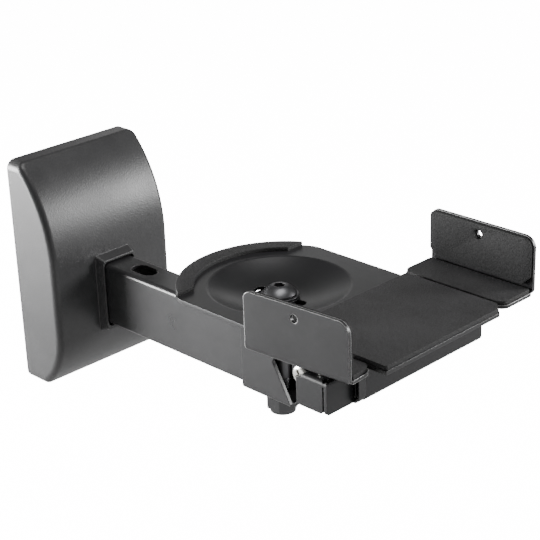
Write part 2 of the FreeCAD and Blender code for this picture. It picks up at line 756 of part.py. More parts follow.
def spacer_spots(side, lip):
    """The two rivets that carry a clamp on its slide."""
    if side < 0:
        centre = "(%s + screw_reach + slide_half_gap) / 2" % SLIDE_FRONT
    else:
        centre = "(%s + screw_reach - slide_half_gap) / 2" % SLIDE_BACK
    return [(ahead(centre), outward(side, "%s - spacer_inset %s spacer_spread / 2" % (lip, sign)))
            for sign in ("-", "+")]


def lip_foot(label, side, lip, end, inward):
    """The waste outside the round at one end of a lip's fold."""
    centre = "%s %s lip_foot_corner" % (end, inward)
    limits = ("%s - 1" % end, centre) if inward == "+" else (centre, "%s + 1" % end)
    fold = span_out(side, "%s - lip_bend" % lip, "%s + 1" % lip)
    waste = block(label + "_foot_waste", limits, fold,
                  ("shelf_level - 1", "shelf_level + lip_foot_corner"))
    kept = rod(label + "_foot_kept", "Y", "lip_foot_corner", "lip_bend + 3", centre,
               fold[0] + " - 1", "shelf_level + lip_foot_corner")
    return cut(label + "_foot", waste, kept)


def clamp_plate(clamp, side):
    """A shelf beside the tray and a lip folded up from its outer edge."""
    label, lip, shelf_width = clamp + "_clamp", clamp + "_lip", clamp + "_shelf_width"
    back, front = ahead(clamp + "_back"), ahead(clamp + "_front")
    blank = block(label + "_blank", (back, front),
                  span_out(side, "%s - %s" % (lip, shelf_width), lip), ("shelf_level", "lip_top"))
    hollow = block(label + "_hollow", (back + " - 1", front + " + 1"),
                   span_out(side, "%s - %s - 1" % (lip, shelf_width), "%s - lip_wall" % lip),
                   ("shelf_level + lip_wall", "lip_top + 1"))
    inner_face = value(outward(side, "%s - lip_wall" % lip))
    outer_face = value(outward(side, lip))
    folded = cut(label + "_folded", blank, hollow)

    def fold(level, face):
        return lambda edge: (runs_along(edge, "x") and near(middle(edge).z, level)
                             and abs(middle(edge).y - face) < 0.05)
    folded = rounded(label + "_outer_bend", folded, "lip_bend", fold("shelf_level", outer_face))
    folded = rounded(label + "_inner_bend", folded, "lip_bend - lip_wall",
                     fold("shelf_level + lip_wall", inner_face))
    for end, size in ((back, "lip_back_corner"), (front, "lip_front_corner")):
        folded = rounded("%s_round_%s" % (label, size), folded, size,
                         lambda edge: runs_along(edge, "y") and near(middle(edge).z, "lip_top")
                         and near(middle(edge).x, end))
    feet = [lip_foot(label, side, lip, back, "+"), lip_foot(label, side, lip, front, "-")]
    folded = cut(label + "_soft_feet", folded, *feet)
    shelf_edge = value(outward(side, "%s - %s" % (lip, shelf_width)))
    folded = rounded(label + "_shelf_corners", folded, "shelf_corner",
                     lambda edge: runs_along(edge, "z")
                     and abs(middle(edge).y - shelf_edge) < 0.05)
    hole = rod(label + "_hole", "Y", "lip_hole_radius", "3 * lip_wall", ahead("lip_hole_reach"),
               outward(side, "%s - lip_wall / 2" % lip) + " - 1.5 * lip_wall", "lip_hole_level")
    drilled = cut(label + "_drilled", folded, hole)
    if side < 0:
        toed(drilled)
    rivets = [rod(label + "_rivet_hole", "Z", "rivet_radius + rivet_fit", "lip_wall + 2", x, y,
                  "shelf_level - 1") for x, y in spacer_spots(side, lip)]
    keep(cut(label + "_plate", drilled, *rivets), label + "_plate")


def clamp_pads(clamp, side):
    """Foam on the inside of a lip and on its shelf."""
    label, lip, shelf_width = clamp + "_clamp", clamp + "_lip", clamp + "_shelf_width"
    back = ahead(clamp + "_back + lip_pad_inset")
    front = ahead(clamp + "_front - lip_pad_inset")
    face = span_out(side, "%s - lip_wall - clamp_pad_thickness" % lip, "%s - lip_wall" % lip)
    pad = block(label + "_lip_blank", (back, front), face,
                ("shelf_level + lip_wall + lip_pad_foot", "lip_top - lip_pad_inset"))
    for end, size in ((back, "lip_back_corner"), (front, "lip_front_corner")):
        pad = rounded("%s_pad_%s" % (label, size), pad, size + " - lip_pad_inset",
                      lambda edge: runs_along(edge, "y") and near(middle(edge).x, end)
                      and near(middle(edge).z, "lip_top - lip_pad_inset"))
    pad = rounded(label + "_lip_cut", pad, "lip_pad_cut", lambda edge: runs_along(edge, "y")
                  and near(middle(edge).z, "shelf_level + lip_wall + lip_pad_foot"),
                  "Part::Chamfer")
    hole = rod(label + "_lip_pad_hole", "Y", "lip_hole_radius + 0.6", "3 * clamp_pad_thickness",
               ahead("lip_hole_reach"), "%s - clamp_pad_thickness" % face[0], "lip_hole_level")
    lip_pad = keep(cut(label + "_lip_pad", pad, hole), label + "_lip_pad")
    shelf = block(label + "_shelf_blank", (back, front),
                  span_out(side, "%s - %s + pad_margin" % (lip, shelf_width),
                           "%s - lip_bend - pad_margin" % lip),
                  ("shelf_level + lip_wall", "shelf_level + lip_wall + clamp_pad_thickness"))
    inner = value(outward(side, "%s - %s + pad_margin" % (lip, shelf_width)))
    shelf_pad = keep(rounded(label + "_shelf_pad", shelf, "shelf_corner - pad_margin",
                             lambda edge: runs_along(edge, "z")
                             and abs(middle(edge).y - inner) < 0.05), label + "_shelf_pad")
    if side < 0:
        toed(lip_pad)
        toed(shelf_pad)


def slide_span(side, outer_inset, inner_inset):
    """The width of a slide, from its wall-clear outer flange to its inner one."""
    if side < 0:
        return (ahead("screw_reach + slide_half_gap + %s" % inner_inset),
                ahead("%s - %s" % (SLIDE_FRONT, outer_inset)))
    return (ahead("%s + %s" % (SLIDE_BACK, outer_inset)),
            ahead("screw_reach - slide_half_gap - %s" % inner_inset))


def slide_lug(label, side, lip):
    """The tab that carries the clamp screw or its nut, beside the slide's inner flange."""
    if side < 0:
        x_span = (ahead("screw_reach - lug_half_width"),
                  ahead("screw_reach + slide_half_gap + slide_wall"))
        face = "%s - lug_setback" % lip
    else:
        x_span = (ahead("screw_reach - slide_half_gap - slide_wall"),
                  ahead("screw_reach + slide_half_gap - slide_gap - slide_wall / 4"))
        face = "far_lug_reach + lug_wall"
    y_span = span_out(side, face + " - lug_wall", face)
    lug = block(label + "_lug_blank", x_span, y_span, ("screw_level - lug_drop", SLIDE_TOP))
    hole = rod(label + "_lug_hole", "Y", "screw_radius + screw_hole_gap", "lug_wall + 2",
               ahead("screw_reach"), y_span[0] + " - 1", "screw_level")
    return cut(label + "_lug", lug, hole)


def clamp_slide(clamp, side):
    """A folded slide: web, hanging side and end flanges, and the screw's lug."""
    label, lip, inner_end = clamp + "_clamp", clamp + "_lip", clamp + "_slide_inner_end"
    channel_end = ("channel_near_end + liner_proud" if side < 0 else "channel_far_end") + " + 0.5"
    end = "%s - slide_end_inset" % lip
    x_span = slide_span(side, "0", "0")
    blank = block(label + "_slide_blank", x_span, span_out(side, "-" + inner_end, end),
                  ("slide_bottom", SLIDE_TOP))
    end_line = value(outward(side, end))

    def fold_edge(edge):
        point = middle(edge)
        return near(point.z, SLIDE_TOP) and (runs_along(edge, "y")
                                             or abs(point.y - end_line) < 0.05)
    blank = rounded(label + "_slide_folded", blank, "slide_wall * 1.2", fold_edge)
    hollow = block(label + "_slide_hollow", slide_span(side, "slide_wall", "slide_wall"),
                   span_out(side, "-%s - 1" % inner_end, end + " - slide_wall"),
                   ("slide_bottom - 1", "%s - slide_wall" % SLIDE_TOP))
    floor = "channel_bottom + channel_wall + liner_wall + slide_gap"
    lifted = block(label + "_slide_lifted", slide_span(side, "-1", "-1"),
                   span_out(side, "-%s - 1" % inner_end, channel_end), ("slide_bottom - 1", floor))
    outer_x = SLIDE_FRONT if side < 0 else SLIDE_BACK
    toward = "-" if side < 0 else "+"
    slit_ends = [ahead("%s %s slide_wall" % (outer_x, toward)),
                 ahead("%s %s slide_wall %s slide_slit" % (outer_x, toward, toward))]
    slit = block(label + "_slit", tuple(reversed(slit_ends) if side < 0 else slit_ends),
                 span_out(side, end + " - slide_wall - 1", end + " + 1"),
                 ("slide_bottom - 1", "%s - slide_wall * 1.6" % SLIDE_TOP))
    relief = rod(label + "_relief", "Z", "relief_radius", "4 * slide_wall",
                 ahead("%s %s (slide_wall + slide_slit / 2)" % (outer_x, toward)),
                 outward(side, end + " - slide_wall"), "%s - 3 * slide_wall" % SLIDE_TOP)
    rivets = [rod(label + "_slide_rivet_hole", "Z", "rivet_radius + rivet_fit", "slide_wall + 2",
                  x, y, "%s - slide_wall - 1" % SLIDE_TOP) for x, y in spacer_spots(side, lip)]
    tools = [hollow, lifted, slit, relief] + rivets
    if side < 0:
        face = "%s - lug_setback" % lip
        tools.append(rod(label + "_head_notch", "Y", "screw_head_radius + head_notch_gap",
                         "%s - slide_wall - (%s)" % (end, face), ahead("screw_reach"),
                         "-1 * (%s - slide_wall)" % end, "screw_level"))
    folded = cut(label + "_slide_open", blank, *tools)
    slit_edge = value(slit_ends[1])

    def free_corner(edge):
        point = middle(edge)
        at_slit = runs_along(edge, "y") and abs(point.x - slit_edge) < 0.05
        at_end = runs_along(edge, "x") and abs(point.y - end_line) < 0.05
        in_corner = abs(point.x - value(ahead(outer_x))) < value("slide_wall")
        return near(point.z, "slide_bottom") and (at_slit or (at_end and in_corner))
    folded = rounded(label + "_slide_corners", folded, "flange_corner", free_corner)
    inner_line = "screw_reach + slide_half_gap"
    ear_span = (inner_line + " - slide_ear", inner_line + " + slide_wall")
    if side > 0:
        inner_line = "screw_reach - slide_half_gap"
        ear_span = (inner_line + " - slide_wall", inner_line + " + slide_ear")
    ear = block(label + "_ear", (ahead(ear_span[0]), ahead(ear_span[1])),
                span_out(side, end + " - slide_wall", end),
                ("slide_bottom", SLIDE_TOP + " - 1.2 * slide_wall"))
    ear = rounded(label + "_ear_soft", ear, "slide_wall",
                  lambda edge: runs_along(edge, "y") and abs(
                      middle(edge).x - value(ahead(ear_span[0 if side < 0 else 1]))) < 0.05)
    keep(fuse(label + "_slide", folded, ear, slide_lug(label, side, lip)), label + "_slide")


def clamp_spacers(clamp, side):
    """Shouldered rivets that hold a clamp plate above its slide."""
    label, lip = clamp + "_clamp", clamp + "_lip"
    pieces = []
    for x, y in spacer_spots(side, lip):
        shank = rod(label + "_spacer_shank", "Z", "rivet_radius",
                    "shelf_level + lip_wall - (%s) + slide_wall" % SLIDE_TOP, x, y,
                    "%s - slide_wall" % SLIDE_TOP)
        shoulder = rod(label + "_spacer_shoulder", "Z", "spacer_radius",
                       "shelf_level - (%s)" % SLIDE_TOP, x, y, SLIDE_TOP)
        button = common(label + "_spacer_button",
                        rod(label + "_spacer_disc", "Z", "spacer_radius * 0.9", "slide_wall",
                            x, y, "%s - 2 * slide_wall" % SLIDE_TOP),
                        ball(label + "_spacer_ball", "spacer_radius", x, y,
                             "%s - slide_wall + spacer_radius * 0.6" % SLIDE_TOP))
        pieces.append(fuse(label + "_spacer", shank, shoulder, button))
    keep(fuse(label + "_spacers", *pieces), label + "_spacers")


# Clamp screw, its washer and its nut

def clamp_screw():
    face = "-near_lip + lug_setback - screw_washer_thickness"
    x = ahead("screw_reach")
    shank = rod("screw_shank", "Y", "screw_radius", "screw_end - (%s) + 1" % face, x,
                "%s - 1" % face, "screw_level")
    disc = rod("screw_head_disc", "Y", "screw_head_radius", "screw_head_height", x,
               "%s - screw_head_height" % face, "screw_level")
    outer_face = value("%s - screw_head_height" % face)
    head = rounded("screw_head", disc, "screw_head_height * 0.55",
                   lambda edge: isinstance(edge.Curve, Part.Circle)
                   and abs(middle(edge).y - outer_face) < 0.05)
    outer = "%s - screw_head_height - 1" % face
    arm = "screw_head_radius * 0.52"
    half = "screw_radius * 0.2"
    cross = fuse("screw_cross",
                 block("cross_flat", ("%s - %s" % (x, arm), "%s + %s" % (x, arm)),
                       (outer, "%s + 3" % outer), ("screw_level - " + half, "screw_level + " + half)),
                 block("cross_up", ("%s - %s" % (x, half), "%s + %s" % (x, half)),
                       (outer, "%s + 3" % outer), ("screw_level - " + arm, "screw_level + " + arm)))
    keep(cut("clamp_screw", fuse("screw_solid", head, shank), cross), "clamp_screw")
    disc = rod("screw_washer_disc", "Y", "screw_washer_radius", "screw_washer_thickness", x, face,
               "screw_level")
    bore = rod("screw_washer_bore", "Y", "screw_radius + screw_hole_gap",
               "screw_washer_thickness + 2", x, "%s - 1" % face, "screw_level")
    keep(cut("screw_washer", disc, bore), "screw_washer")
    bush = rod("clamp_nut_bush", "Y", "slide_half_gap - slide_gap", "clamp_nut_length", x,
               "far_lug_reach + lug_wall", "screw_level")
    tapped = rod("clamp_nut_bore", "Y", "screw_radius + screw_fit", "clamp_nut_length + 2", x,
                 "far_lug_reach + lug_wall - 1", "screw_level")
    keep(cut("clamp_nut", bush, tapped), "clamp_nut")


wall_plate()
wall_cover()
arm_tube()
arm_end_bracket()
pivot_bolt()
washer("head_washer", "head_washer_radius", "head_washer_thickness", WASHER_TOP)
washer("bottom_washer", "bottom_washer_radius", "bottom_washer_thickness",
       "-(%s) - bottom_washer_thickness" % BRACKET_TOP)
dished_washer()
pivot_seat()
lock_nut()
tray_plate()
tray_pads()
guide_channel()
slide_liner()
channel_rivets()
for clamp, which_way in (("near", -1), ("far", 1)):
    clamp_plate(clamp, which_way)
    clamp_pads(clamp, which_way)
    clamp_slide(clamp, which_way)
    clamp_spacers(clamp, which_way)
clamp_screw()

document.recompute()
for thing in document.Objects:
    if "Invalid" in thing.State or "Error" in thing.State:
        raise RuntimeError("%s did not rebuild: %s" % (thing.Label, thing.State))
for node in NODES:
    if node.Shape.isNull() or not node.Shape.isValid():
        raise RuntimeError("%s has no valid shape" % node.Label)

os.makedirs("parts", exist_ok=True)
for node in NODES:
    node.Shape.exportStep(os.path.join("parts", node.Label + ".step"))
    print("%-20s %2d solids %10.1f mm3" % (node.Label, len(node.Shape.Solids), node.Shape.Volume))
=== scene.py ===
"""Looks of a loudspeaker wall bracket: painted steel, moulded plastic, foam and plated hardware."""

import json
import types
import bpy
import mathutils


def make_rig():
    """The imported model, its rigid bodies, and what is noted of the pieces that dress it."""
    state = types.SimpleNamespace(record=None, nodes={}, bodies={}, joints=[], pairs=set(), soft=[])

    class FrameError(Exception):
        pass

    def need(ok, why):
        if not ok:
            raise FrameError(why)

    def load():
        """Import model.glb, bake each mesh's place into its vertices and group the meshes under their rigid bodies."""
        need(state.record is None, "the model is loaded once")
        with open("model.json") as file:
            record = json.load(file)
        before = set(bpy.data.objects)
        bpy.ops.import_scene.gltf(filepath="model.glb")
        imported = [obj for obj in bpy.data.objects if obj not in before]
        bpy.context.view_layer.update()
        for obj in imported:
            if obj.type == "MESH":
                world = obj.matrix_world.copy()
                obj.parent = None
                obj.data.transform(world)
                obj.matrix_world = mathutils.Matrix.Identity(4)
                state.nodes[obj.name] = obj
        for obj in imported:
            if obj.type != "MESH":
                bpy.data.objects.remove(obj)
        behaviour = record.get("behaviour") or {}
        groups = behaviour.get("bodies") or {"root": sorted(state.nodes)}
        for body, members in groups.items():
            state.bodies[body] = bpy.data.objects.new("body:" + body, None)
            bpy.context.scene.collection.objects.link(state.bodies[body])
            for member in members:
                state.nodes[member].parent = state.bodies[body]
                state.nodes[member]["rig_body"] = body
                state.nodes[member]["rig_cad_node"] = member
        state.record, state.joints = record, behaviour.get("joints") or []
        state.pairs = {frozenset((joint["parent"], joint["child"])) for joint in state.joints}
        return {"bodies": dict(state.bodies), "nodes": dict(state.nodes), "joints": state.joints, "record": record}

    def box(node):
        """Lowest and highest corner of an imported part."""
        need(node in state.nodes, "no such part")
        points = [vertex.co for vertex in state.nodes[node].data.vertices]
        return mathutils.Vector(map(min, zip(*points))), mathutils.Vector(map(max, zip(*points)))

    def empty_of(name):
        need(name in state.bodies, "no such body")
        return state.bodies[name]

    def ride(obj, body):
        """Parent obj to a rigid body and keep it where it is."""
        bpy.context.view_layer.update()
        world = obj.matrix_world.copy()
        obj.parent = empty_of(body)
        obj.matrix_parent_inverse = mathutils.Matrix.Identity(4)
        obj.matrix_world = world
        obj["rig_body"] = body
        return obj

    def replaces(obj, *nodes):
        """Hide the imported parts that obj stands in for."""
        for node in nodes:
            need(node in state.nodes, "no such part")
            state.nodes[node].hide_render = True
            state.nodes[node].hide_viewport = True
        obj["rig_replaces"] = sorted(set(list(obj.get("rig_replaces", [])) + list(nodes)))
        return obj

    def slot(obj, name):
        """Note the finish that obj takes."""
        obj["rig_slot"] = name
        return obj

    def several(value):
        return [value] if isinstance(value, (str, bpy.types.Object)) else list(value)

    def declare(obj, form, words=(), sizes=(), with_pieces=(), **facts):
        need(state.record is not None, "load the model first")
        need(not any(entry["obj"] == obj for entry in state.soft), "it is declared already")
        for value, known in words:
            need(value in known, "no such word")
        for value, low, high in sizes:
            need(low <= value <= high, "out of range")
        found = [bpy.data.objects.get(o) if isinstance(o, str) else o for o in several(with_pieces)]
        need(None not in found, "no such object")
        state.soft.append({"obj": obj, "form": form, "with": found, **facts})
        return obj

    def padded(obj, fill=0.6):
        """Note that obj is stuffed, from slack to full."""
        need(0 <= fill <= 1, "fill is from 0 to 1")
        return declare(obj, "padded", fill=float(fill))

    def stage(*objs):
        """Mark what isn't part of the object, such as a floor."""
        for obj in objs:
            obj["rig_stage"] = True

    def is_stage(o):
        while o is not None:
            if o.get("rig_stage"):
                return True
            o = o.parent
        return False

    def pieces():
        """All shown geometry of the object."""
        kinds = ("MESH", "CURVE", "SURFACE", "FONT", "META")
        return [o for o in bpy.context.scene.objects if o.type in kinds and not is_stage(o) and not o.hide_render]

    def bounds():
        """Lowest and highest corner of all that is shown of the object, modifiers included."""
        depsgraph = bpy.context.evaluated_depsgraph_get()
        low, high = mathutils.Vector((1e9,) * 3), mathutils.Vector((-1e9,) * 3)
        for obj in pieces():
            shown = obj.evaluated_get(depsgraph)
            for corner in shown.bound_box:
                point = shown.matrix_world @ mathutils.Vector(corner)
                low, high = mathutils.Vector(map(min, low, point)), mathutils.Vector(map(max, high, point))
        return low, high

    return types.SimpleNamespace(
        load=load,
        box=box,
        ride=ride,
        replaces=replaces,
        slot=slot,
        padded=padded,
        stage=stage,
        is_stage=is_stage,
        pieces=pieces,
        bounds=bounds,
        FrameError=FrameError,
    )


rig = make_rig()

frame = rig.load()

import json
import logging
import math
from dataclasses import dataclass
from enum import Enum
from typing import Dict, List, Sequence, Tuple

import bmesh
import bpy
from mathutils import Matrix, Vector

LOG = logging.getLogger("speaker_bracket")
SIZE_FILE = "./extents.json"

Colour = Tuple[float, float, float]
Point2 = Tuple[float, float]
MM = 0.001
FULL_TURN = 2 * math.pi

# Meshes: the angle past which an edge stays sharp and the distance within which points merge
SHARP_ANGLE = math.radians(35)
MERGE_DISTANCE = 1e-7

# Faces round a pad's hole and round a turned head
HOLE_STEPS = 24
HEAD_STEPS = 48

# Threads: rows of faces in a turn, steepness of the flanks, share of the depth cut at the ends
THREAD_ROWS = 6
FLANK_STEEPNESS = 1.15
END_SHARE = 0.4

# Finishes: samples of the rounded edges, colour and roughness of dust, and the height of the
# relief at which grain leaves the colour as it is
BEVEL_SAMPLES = 6
DUST_COLOUR: Colour = (0.32, 0.31, 0.30)
DUST_ROUGHNESS = 0.3
GRAIN_LEVEL = 0.8

# Sockets of the mix node that take and give colours
MIX_COLOURS = (6, 7)
MIX_RESULT = 2

# The pivot's place along the arm and the line about which a clamp's plate turns, in metres
PIVOT_X = 0.190
LIP_MIDDLE_X = PIVOT_X + 0.0771


class Body(Enum):
    """Bodies of the bracket that carry pieces built here."""

    ROOT = "root"
    TRAY = "tray"
    NEAR_CLAMP = "near_clamp"
    FAR_CLAMP = "far_clamp"
    CLAMP_SCREW = "clamp_screw"


@dataclass(frozen=True)
class ClampSide:
    """Places and sizes of one side clamp's plate, in metres.

    The way is -1 towards the near side and 1 towards the far one, and the toe is the angle at
    which the plate stands out of square, in radians.
    """

    body: Body
    way: int
    lip_y: float
    pad_ends: Tuple[float, float]
    shelf_width: float
    toe: float = 0.0


NEAR_CLAMP = ClampSide(Body.NEAR_CLAMP, way=-1, lip_y=-0.0665,
                       pad_ends=(PIVOT_X + 0.0433, PIVOT_X + 0.1109), shelf_width=0.0200,
                       toe=math.radians(4.6))
FAR_CLAMP = ClampSide(Body.FAR_CLAMP, way=1, lip_y=0.0883,
                      pad_ends=(PIVOT_X + 0.0419, PIVOT_X + 0.1132), shelf_width=0.0293)


class Texture(Enum):
    """Kinds of fine surface relief."""

    POWDER = "powder coat"
    MOULDED = "moulded plastic"
    FOAM = "foam"
    BRUSHED = "brushed metal"
    TURNED = "turned metal"


def write_bounds(label: str, store: Dict[str, object]) -> None:
    """Record the bounds of all that shows.

    Args:
        label: Key under which the bounds are kept.
        store: Dictionary that collects them.
    """
    store[label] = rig.bounds()
    with open(SIZE_FILE, "w") as handle:
        json.dump(store, handle, default=lambda item: [list(row) for row in item]
                  if hasattr(item[0], "__len__") else list(item))


class NodeChain:
    """Small helper that adds and joins shader nodes in one tree."""

    def __init__(self, tree: bpy.types.NodeTree) -> None:
        """Keep the tree that the nodes go into."""
        self.tree = tree

    def add(self, kind: str, **settings: object) -> bpy.types.Node:
        """Add a node and set its properties.

        Args:
            kind: Node type name.
            settings: Properties set on the node.

        Returns:
            The new node.
        """
        node = self.tree.nodes.new(kind)
        for name, value in settings.items():
            setattr(node, name, value)
        return node

    def join(self, source: bpy.types.NodeSocket, target: bpy.types.NodeSocket) -> None:
        """Link two sockets.

        Args:
            source: Output socket.
            target: Input socket.
        """
        self.tree.links.new(source, target)

    def maths(self, operation: str, first: object, second: object,
              clamp: bool = False) -> bpy.types.NodeSocket:
        """Combine two values.

        Args:
            operation: Name of the math operation.
            first: Socket or number.
            second: Socket or number.
            clamp: Whether the result stays between 0 and 1.

        Returns:
            The result's socket.
        """
        node = self.add("ShaderNodeMath", operation=operation, use_clamp=clamp)
        for socket, value in zip(node.inputs, (first, second)):
            if isinstance(value, bpy.types.NodeSocket):
                self.join(value, socket)
            else:
                socket.default_value = value
        return node.outputs[0]

    def blend(self, factor: bpy.types.NodeSocket, first: object,
              second: object) -> bpy.types.NodeSocket:
        """Mix two colours by a factor.

        Args:
            factor: Socket from 0 to 1.
            first: Socket or colour at 0.
            second: Socket or colour at 1.

        Returns:
            The mixed colour's socket.
        """
        node = self.add("ShaderNodeMix", data_type="RGBA")
        self.join(factor, node.inputs["Factor"])
        for index, value in zip(MIX_COLOURS, (first, second)):
            if isinstance(value, bpy.types.NodeSocket):
                self.join(value, node.inputs[index])
            else:
                node.inputs[index].default_value = (*value, 1.0)
        return node.outputs[MIX_RESULT]

    def noise(self, vector: bpy.types.NodeSocket, scale: float, detail: float = 2.0,
              roughness: float = 0.5) -> bpy.types.NodeSocket:
        """Add a noise pattern.

        Args:
            vector: Coordinates.
            scale: Cells per metre.
            detail: Octaves.
            roughness: Share of the finer octaves.

        Returns:
            The pattern's value.
        """
        node = self.add("ShaderNodeTexNoise")
        node.inputs["Scale"].default_value = scale
        node.inputs["Detail"].default_value = detail
        node.inputs["Roughness"].default_value = roughness
        self.join(vector, node.inputs["Vector"])
        return node.outputs["Fac"]

    def spread(self, value: bpy.types.NodeSocket, low: float, high: float, to_low: float,
               to_high: float) -> bpy.types.NodeSocket:
        """Map a value from one range to another.

        Args:
            value: Value to map.
            low: Start of the first range.
            high: End of the first range.
            to_low: Start of the second range.
            to_high: End of the second range.

        Returns:
            The mapped value's socket.
        """
        node = self.add("ShaderNodeMapRange")
        self.join(value, node.inputs["Value"])
        ends = {"From Min": low, "From Max": high, "To Min": to_low, "To Max": to_high}
        for name, number in ends.items():
            node.inputs[name].default_value = number
        return node.outputs["Result"]


def new_group(name: str, inputs: Sequence[Tuple[str, str, object]],
              outputs: Sequence[Tuple[str, str]]) -> Tuple[bpy.types.NodeTree, NodeChain,
                                                           bpy.types.Node, bpy.types.Node]:
    """Start a shader node group.

    Args:
        name: Name of the group.
        inputs: Name, socket type and default of each input.
        outputs: Name and socket type of each output.

    Returns:
        The tree, its chain helper, its input node and its output node.
    """
    tree = bpy.data.node_groups.new(name, "ShaderNodeTree")
    for label, kind, default in inputs:
        socket = tree.interface.new_socket(label, in_out="INPUT", socket_type=kind)
        if default is not None:
            socket.default_value = default
    for label, kind in outputs:
        tree.interface.new_socket(label, in_out="OUTPUT", socket_type=kind)
    chain = NodeChain(tree)
    return tree, chain, chain.add("NodeGroupInput"), chain.add("NodeGroupOutput")


class EffectGroups:
    """Node groups that several finishes share."""

    def __init__(self) -> None:
        """Build each group once."""
        self.edge = self._edge_group()
        self.dust = self._dust_group()
        self.reliefs = {kind: self._relief_group(kind) for kind in Texture}

    @staticmethod
    def _edge_group() -> bpy.types.NodeTree:
        """Build the mask of worn edges with a painted highlight: where a rounded normal leaves the true one.

        Returns:
            The group's tree.
        """
        tree, chain, start, end = new_group(
            "rubbed_and_highlit_edges",
            [("Rounded", "NodeSocketVector", None), ("Amount", "NodeSocketFloat", 0.5)],
            [("Mask", "NodeSocketFloat")])
        geometry = chain.add("ShaderNodeNewGeometry")
        dot = chain.add("ShaderNodeVectorMath", operation="DOT_PRODUCT")
        chain.join(geometry.outputs["Normal"], dot.inputs[0])
        chain.join(start.outputs["Rounded"], dot.inputs[1])
        turned = chain.maths("SUBTRACT", 1.0, dot.outputs["Value"], clamp=True)
        place = chain.add("ShaderNodeTexCoord")
        cloud = chain.noise(place.outputs["Object"], scale=260.0, detail=4.0)
        patches = chain.spread(cloud, low=0.35, high=0.65, to_low=0.55, to_high=1.0)
        # Edges where the normal turns take the edge mark: worn paint and a painted highlight.
        edges_rubbed_and_lit = chain.spread(turned, low=0.01, high=0.2, to_low=0.0, to_high=1.0)
        mask = chain.maths("MULTIPLY", edges_rubbed_and_lit, patches)
        chain.join(chain.maths("MULTIPLY", mask, start.outputs["Amount"], clamp=True),
                   end.inputs["Mask"])
        return tree

    @staticmethod
    def _dust_group() -> bpy.types.NodeTree:
        """Build the mask of fine dust on faces that look up.

        Returns:
            The group's tree.
        """
        tree, chain, start, end = new_group(
            "fine_dust", [("Amount", "NodeSocketFloat", 0.2)], [("Mask", "NodeSocketFloat")])
        geometry = chain.add("ShaderNodeNewGeometry")
        parts = chain.add("ShaderNodeSeparateXYZ")
        chain.join(geometry.outputs["Normal"], parts.inputs[0])
        upward = chain.spread(parts.outputs["Z"], low=0.2, high=1.0, to_low=0.0, to_high=1.0)
        place = chain.add("ShaderNodeTexCoord")
        cloud = chain.noise(place.outputs["Object"], scale=45.0, detail=6.0, roughness=0.65)
        patches = chain.spread(cloud, low=0.3, high=0.75, to_low=0.2, to_high=1.0)
        mask = chain.maths("MULTIPLY", upward, patches)
        chain.join(chain.maths("MULTIPLY", mask, start.outputs["Amount"], clamp=True),
                   end.inputs["Mask"])
        return tree

    @staticmethod
    def _relief_group(kind: Texture) -> bpy.types.NodeTree:
        """Build the height and the roughness shift of one kind of surface.

        Args:
            kind: The kind of surface.

        Returns:
            The group's tree.
        """
        tree, chain, _, end = new_group(
            "relief_" + kind.name.lower(), [],
            [("Height", "NodeSocketFloat"), ("Variation", "NodeSocketFloat")])
        vector = chain.add("ShaderNodeTexCoord").outputs["Object"]
        cloud = chain.noise(vector, scale=22.0, detail=5.0, roughness=0.6)
        shift = chain.spread(cloud, low=0.3, high=0.7, to_low=-1.0, to_high=1.0)
        chain.join(EffectGroups._height(kind, chain, vector), end.inputs["Height"])
        chain.join(shift, end.inputs["Variation"])
        return tree

    @staticmethod
    def _height(kind: Texture, chain: NodeChain,
                vector: bpy.types.NodeSocket) -> bpy.types.NodeSocket:
        """Give the height pattern of one kind of surface.

        Args:
            kind: The kind of surface.
            chain: Helper of the group's tree.
            vector: Coordinates in metres.

        Returns:
            The height's socket.
        """
        if kind is Texture.POWDER:
            fine = chain.noise(vector, scale=1500.0, detail=3.0, roughness=0.55)
            coarse = chain.noise(vector, scale=480.0)
            return chain.maths("ADD", chain.maths("MULTIPLY", fine, 0.7),
                               chain.maths("MULTIPLY", coarse, 0.6))
        if kind is Texture.MOULDED:
            cells = chain.add("ShaderNodeTexVoronoi", feature="SMOOTH_F1")
            cells.inputs["Scale"].default_value = 1700.0
            chain.join(vector, cells.inputs["Vector"])
            fine = chain.noise(vector, scale=900.0)
            return chain.maths("ADD", cells.outputs["Distance"], fine)
        if kind is Texture.FOAM:
            cells = chain.add("ShaderNodeTexVoronoi", feature="F1")
            cells.inputs["Scale"].default_value = 1500.0
            chain.join(vector, cells.inputs["Vector"])
            fine = chain.noise(vector, scale=1150.0, detail=4.0, roughness=0.75)
            return chain.maths("ADD", chain.maths("MULTIPLY", cells.outputs["Distance"], 0.8), fine)
        if kind is Texture.BRUSHED:
            stretch = chain.add("ShaderNodeVectorMath", operation="MULTIPLY")
            stretch.inputs[1].default_value = (1.0, 0.06, 1.0)
            chain.join(vector, stretch.inputs[0])
            return chain.noise(stretch.outputs[0], scale=2600.0, detail=3.0, roughness=0.6)
        # Turned metal: rings about the pivot
        rings = chain.add("ShaderNodeTexWave", wave_type="RINGS", rings_direction="Z")
        rings.inputs["Scale"].default_value = 900.0
        rings.inputs["Distortion"].default_value = 1.2
        shift = chain.add("ShaderNodeVectorMath", operation="SUBTRACT")
        shift.inputs[1].default_value = (PIVOT_X, 0.0, 0.0)
        chain.join(vector, shift.inputs[0])
        chain.join(shift.outputs[0], rings.inputs["Vector"])
        return rings.outputs["Fac"]


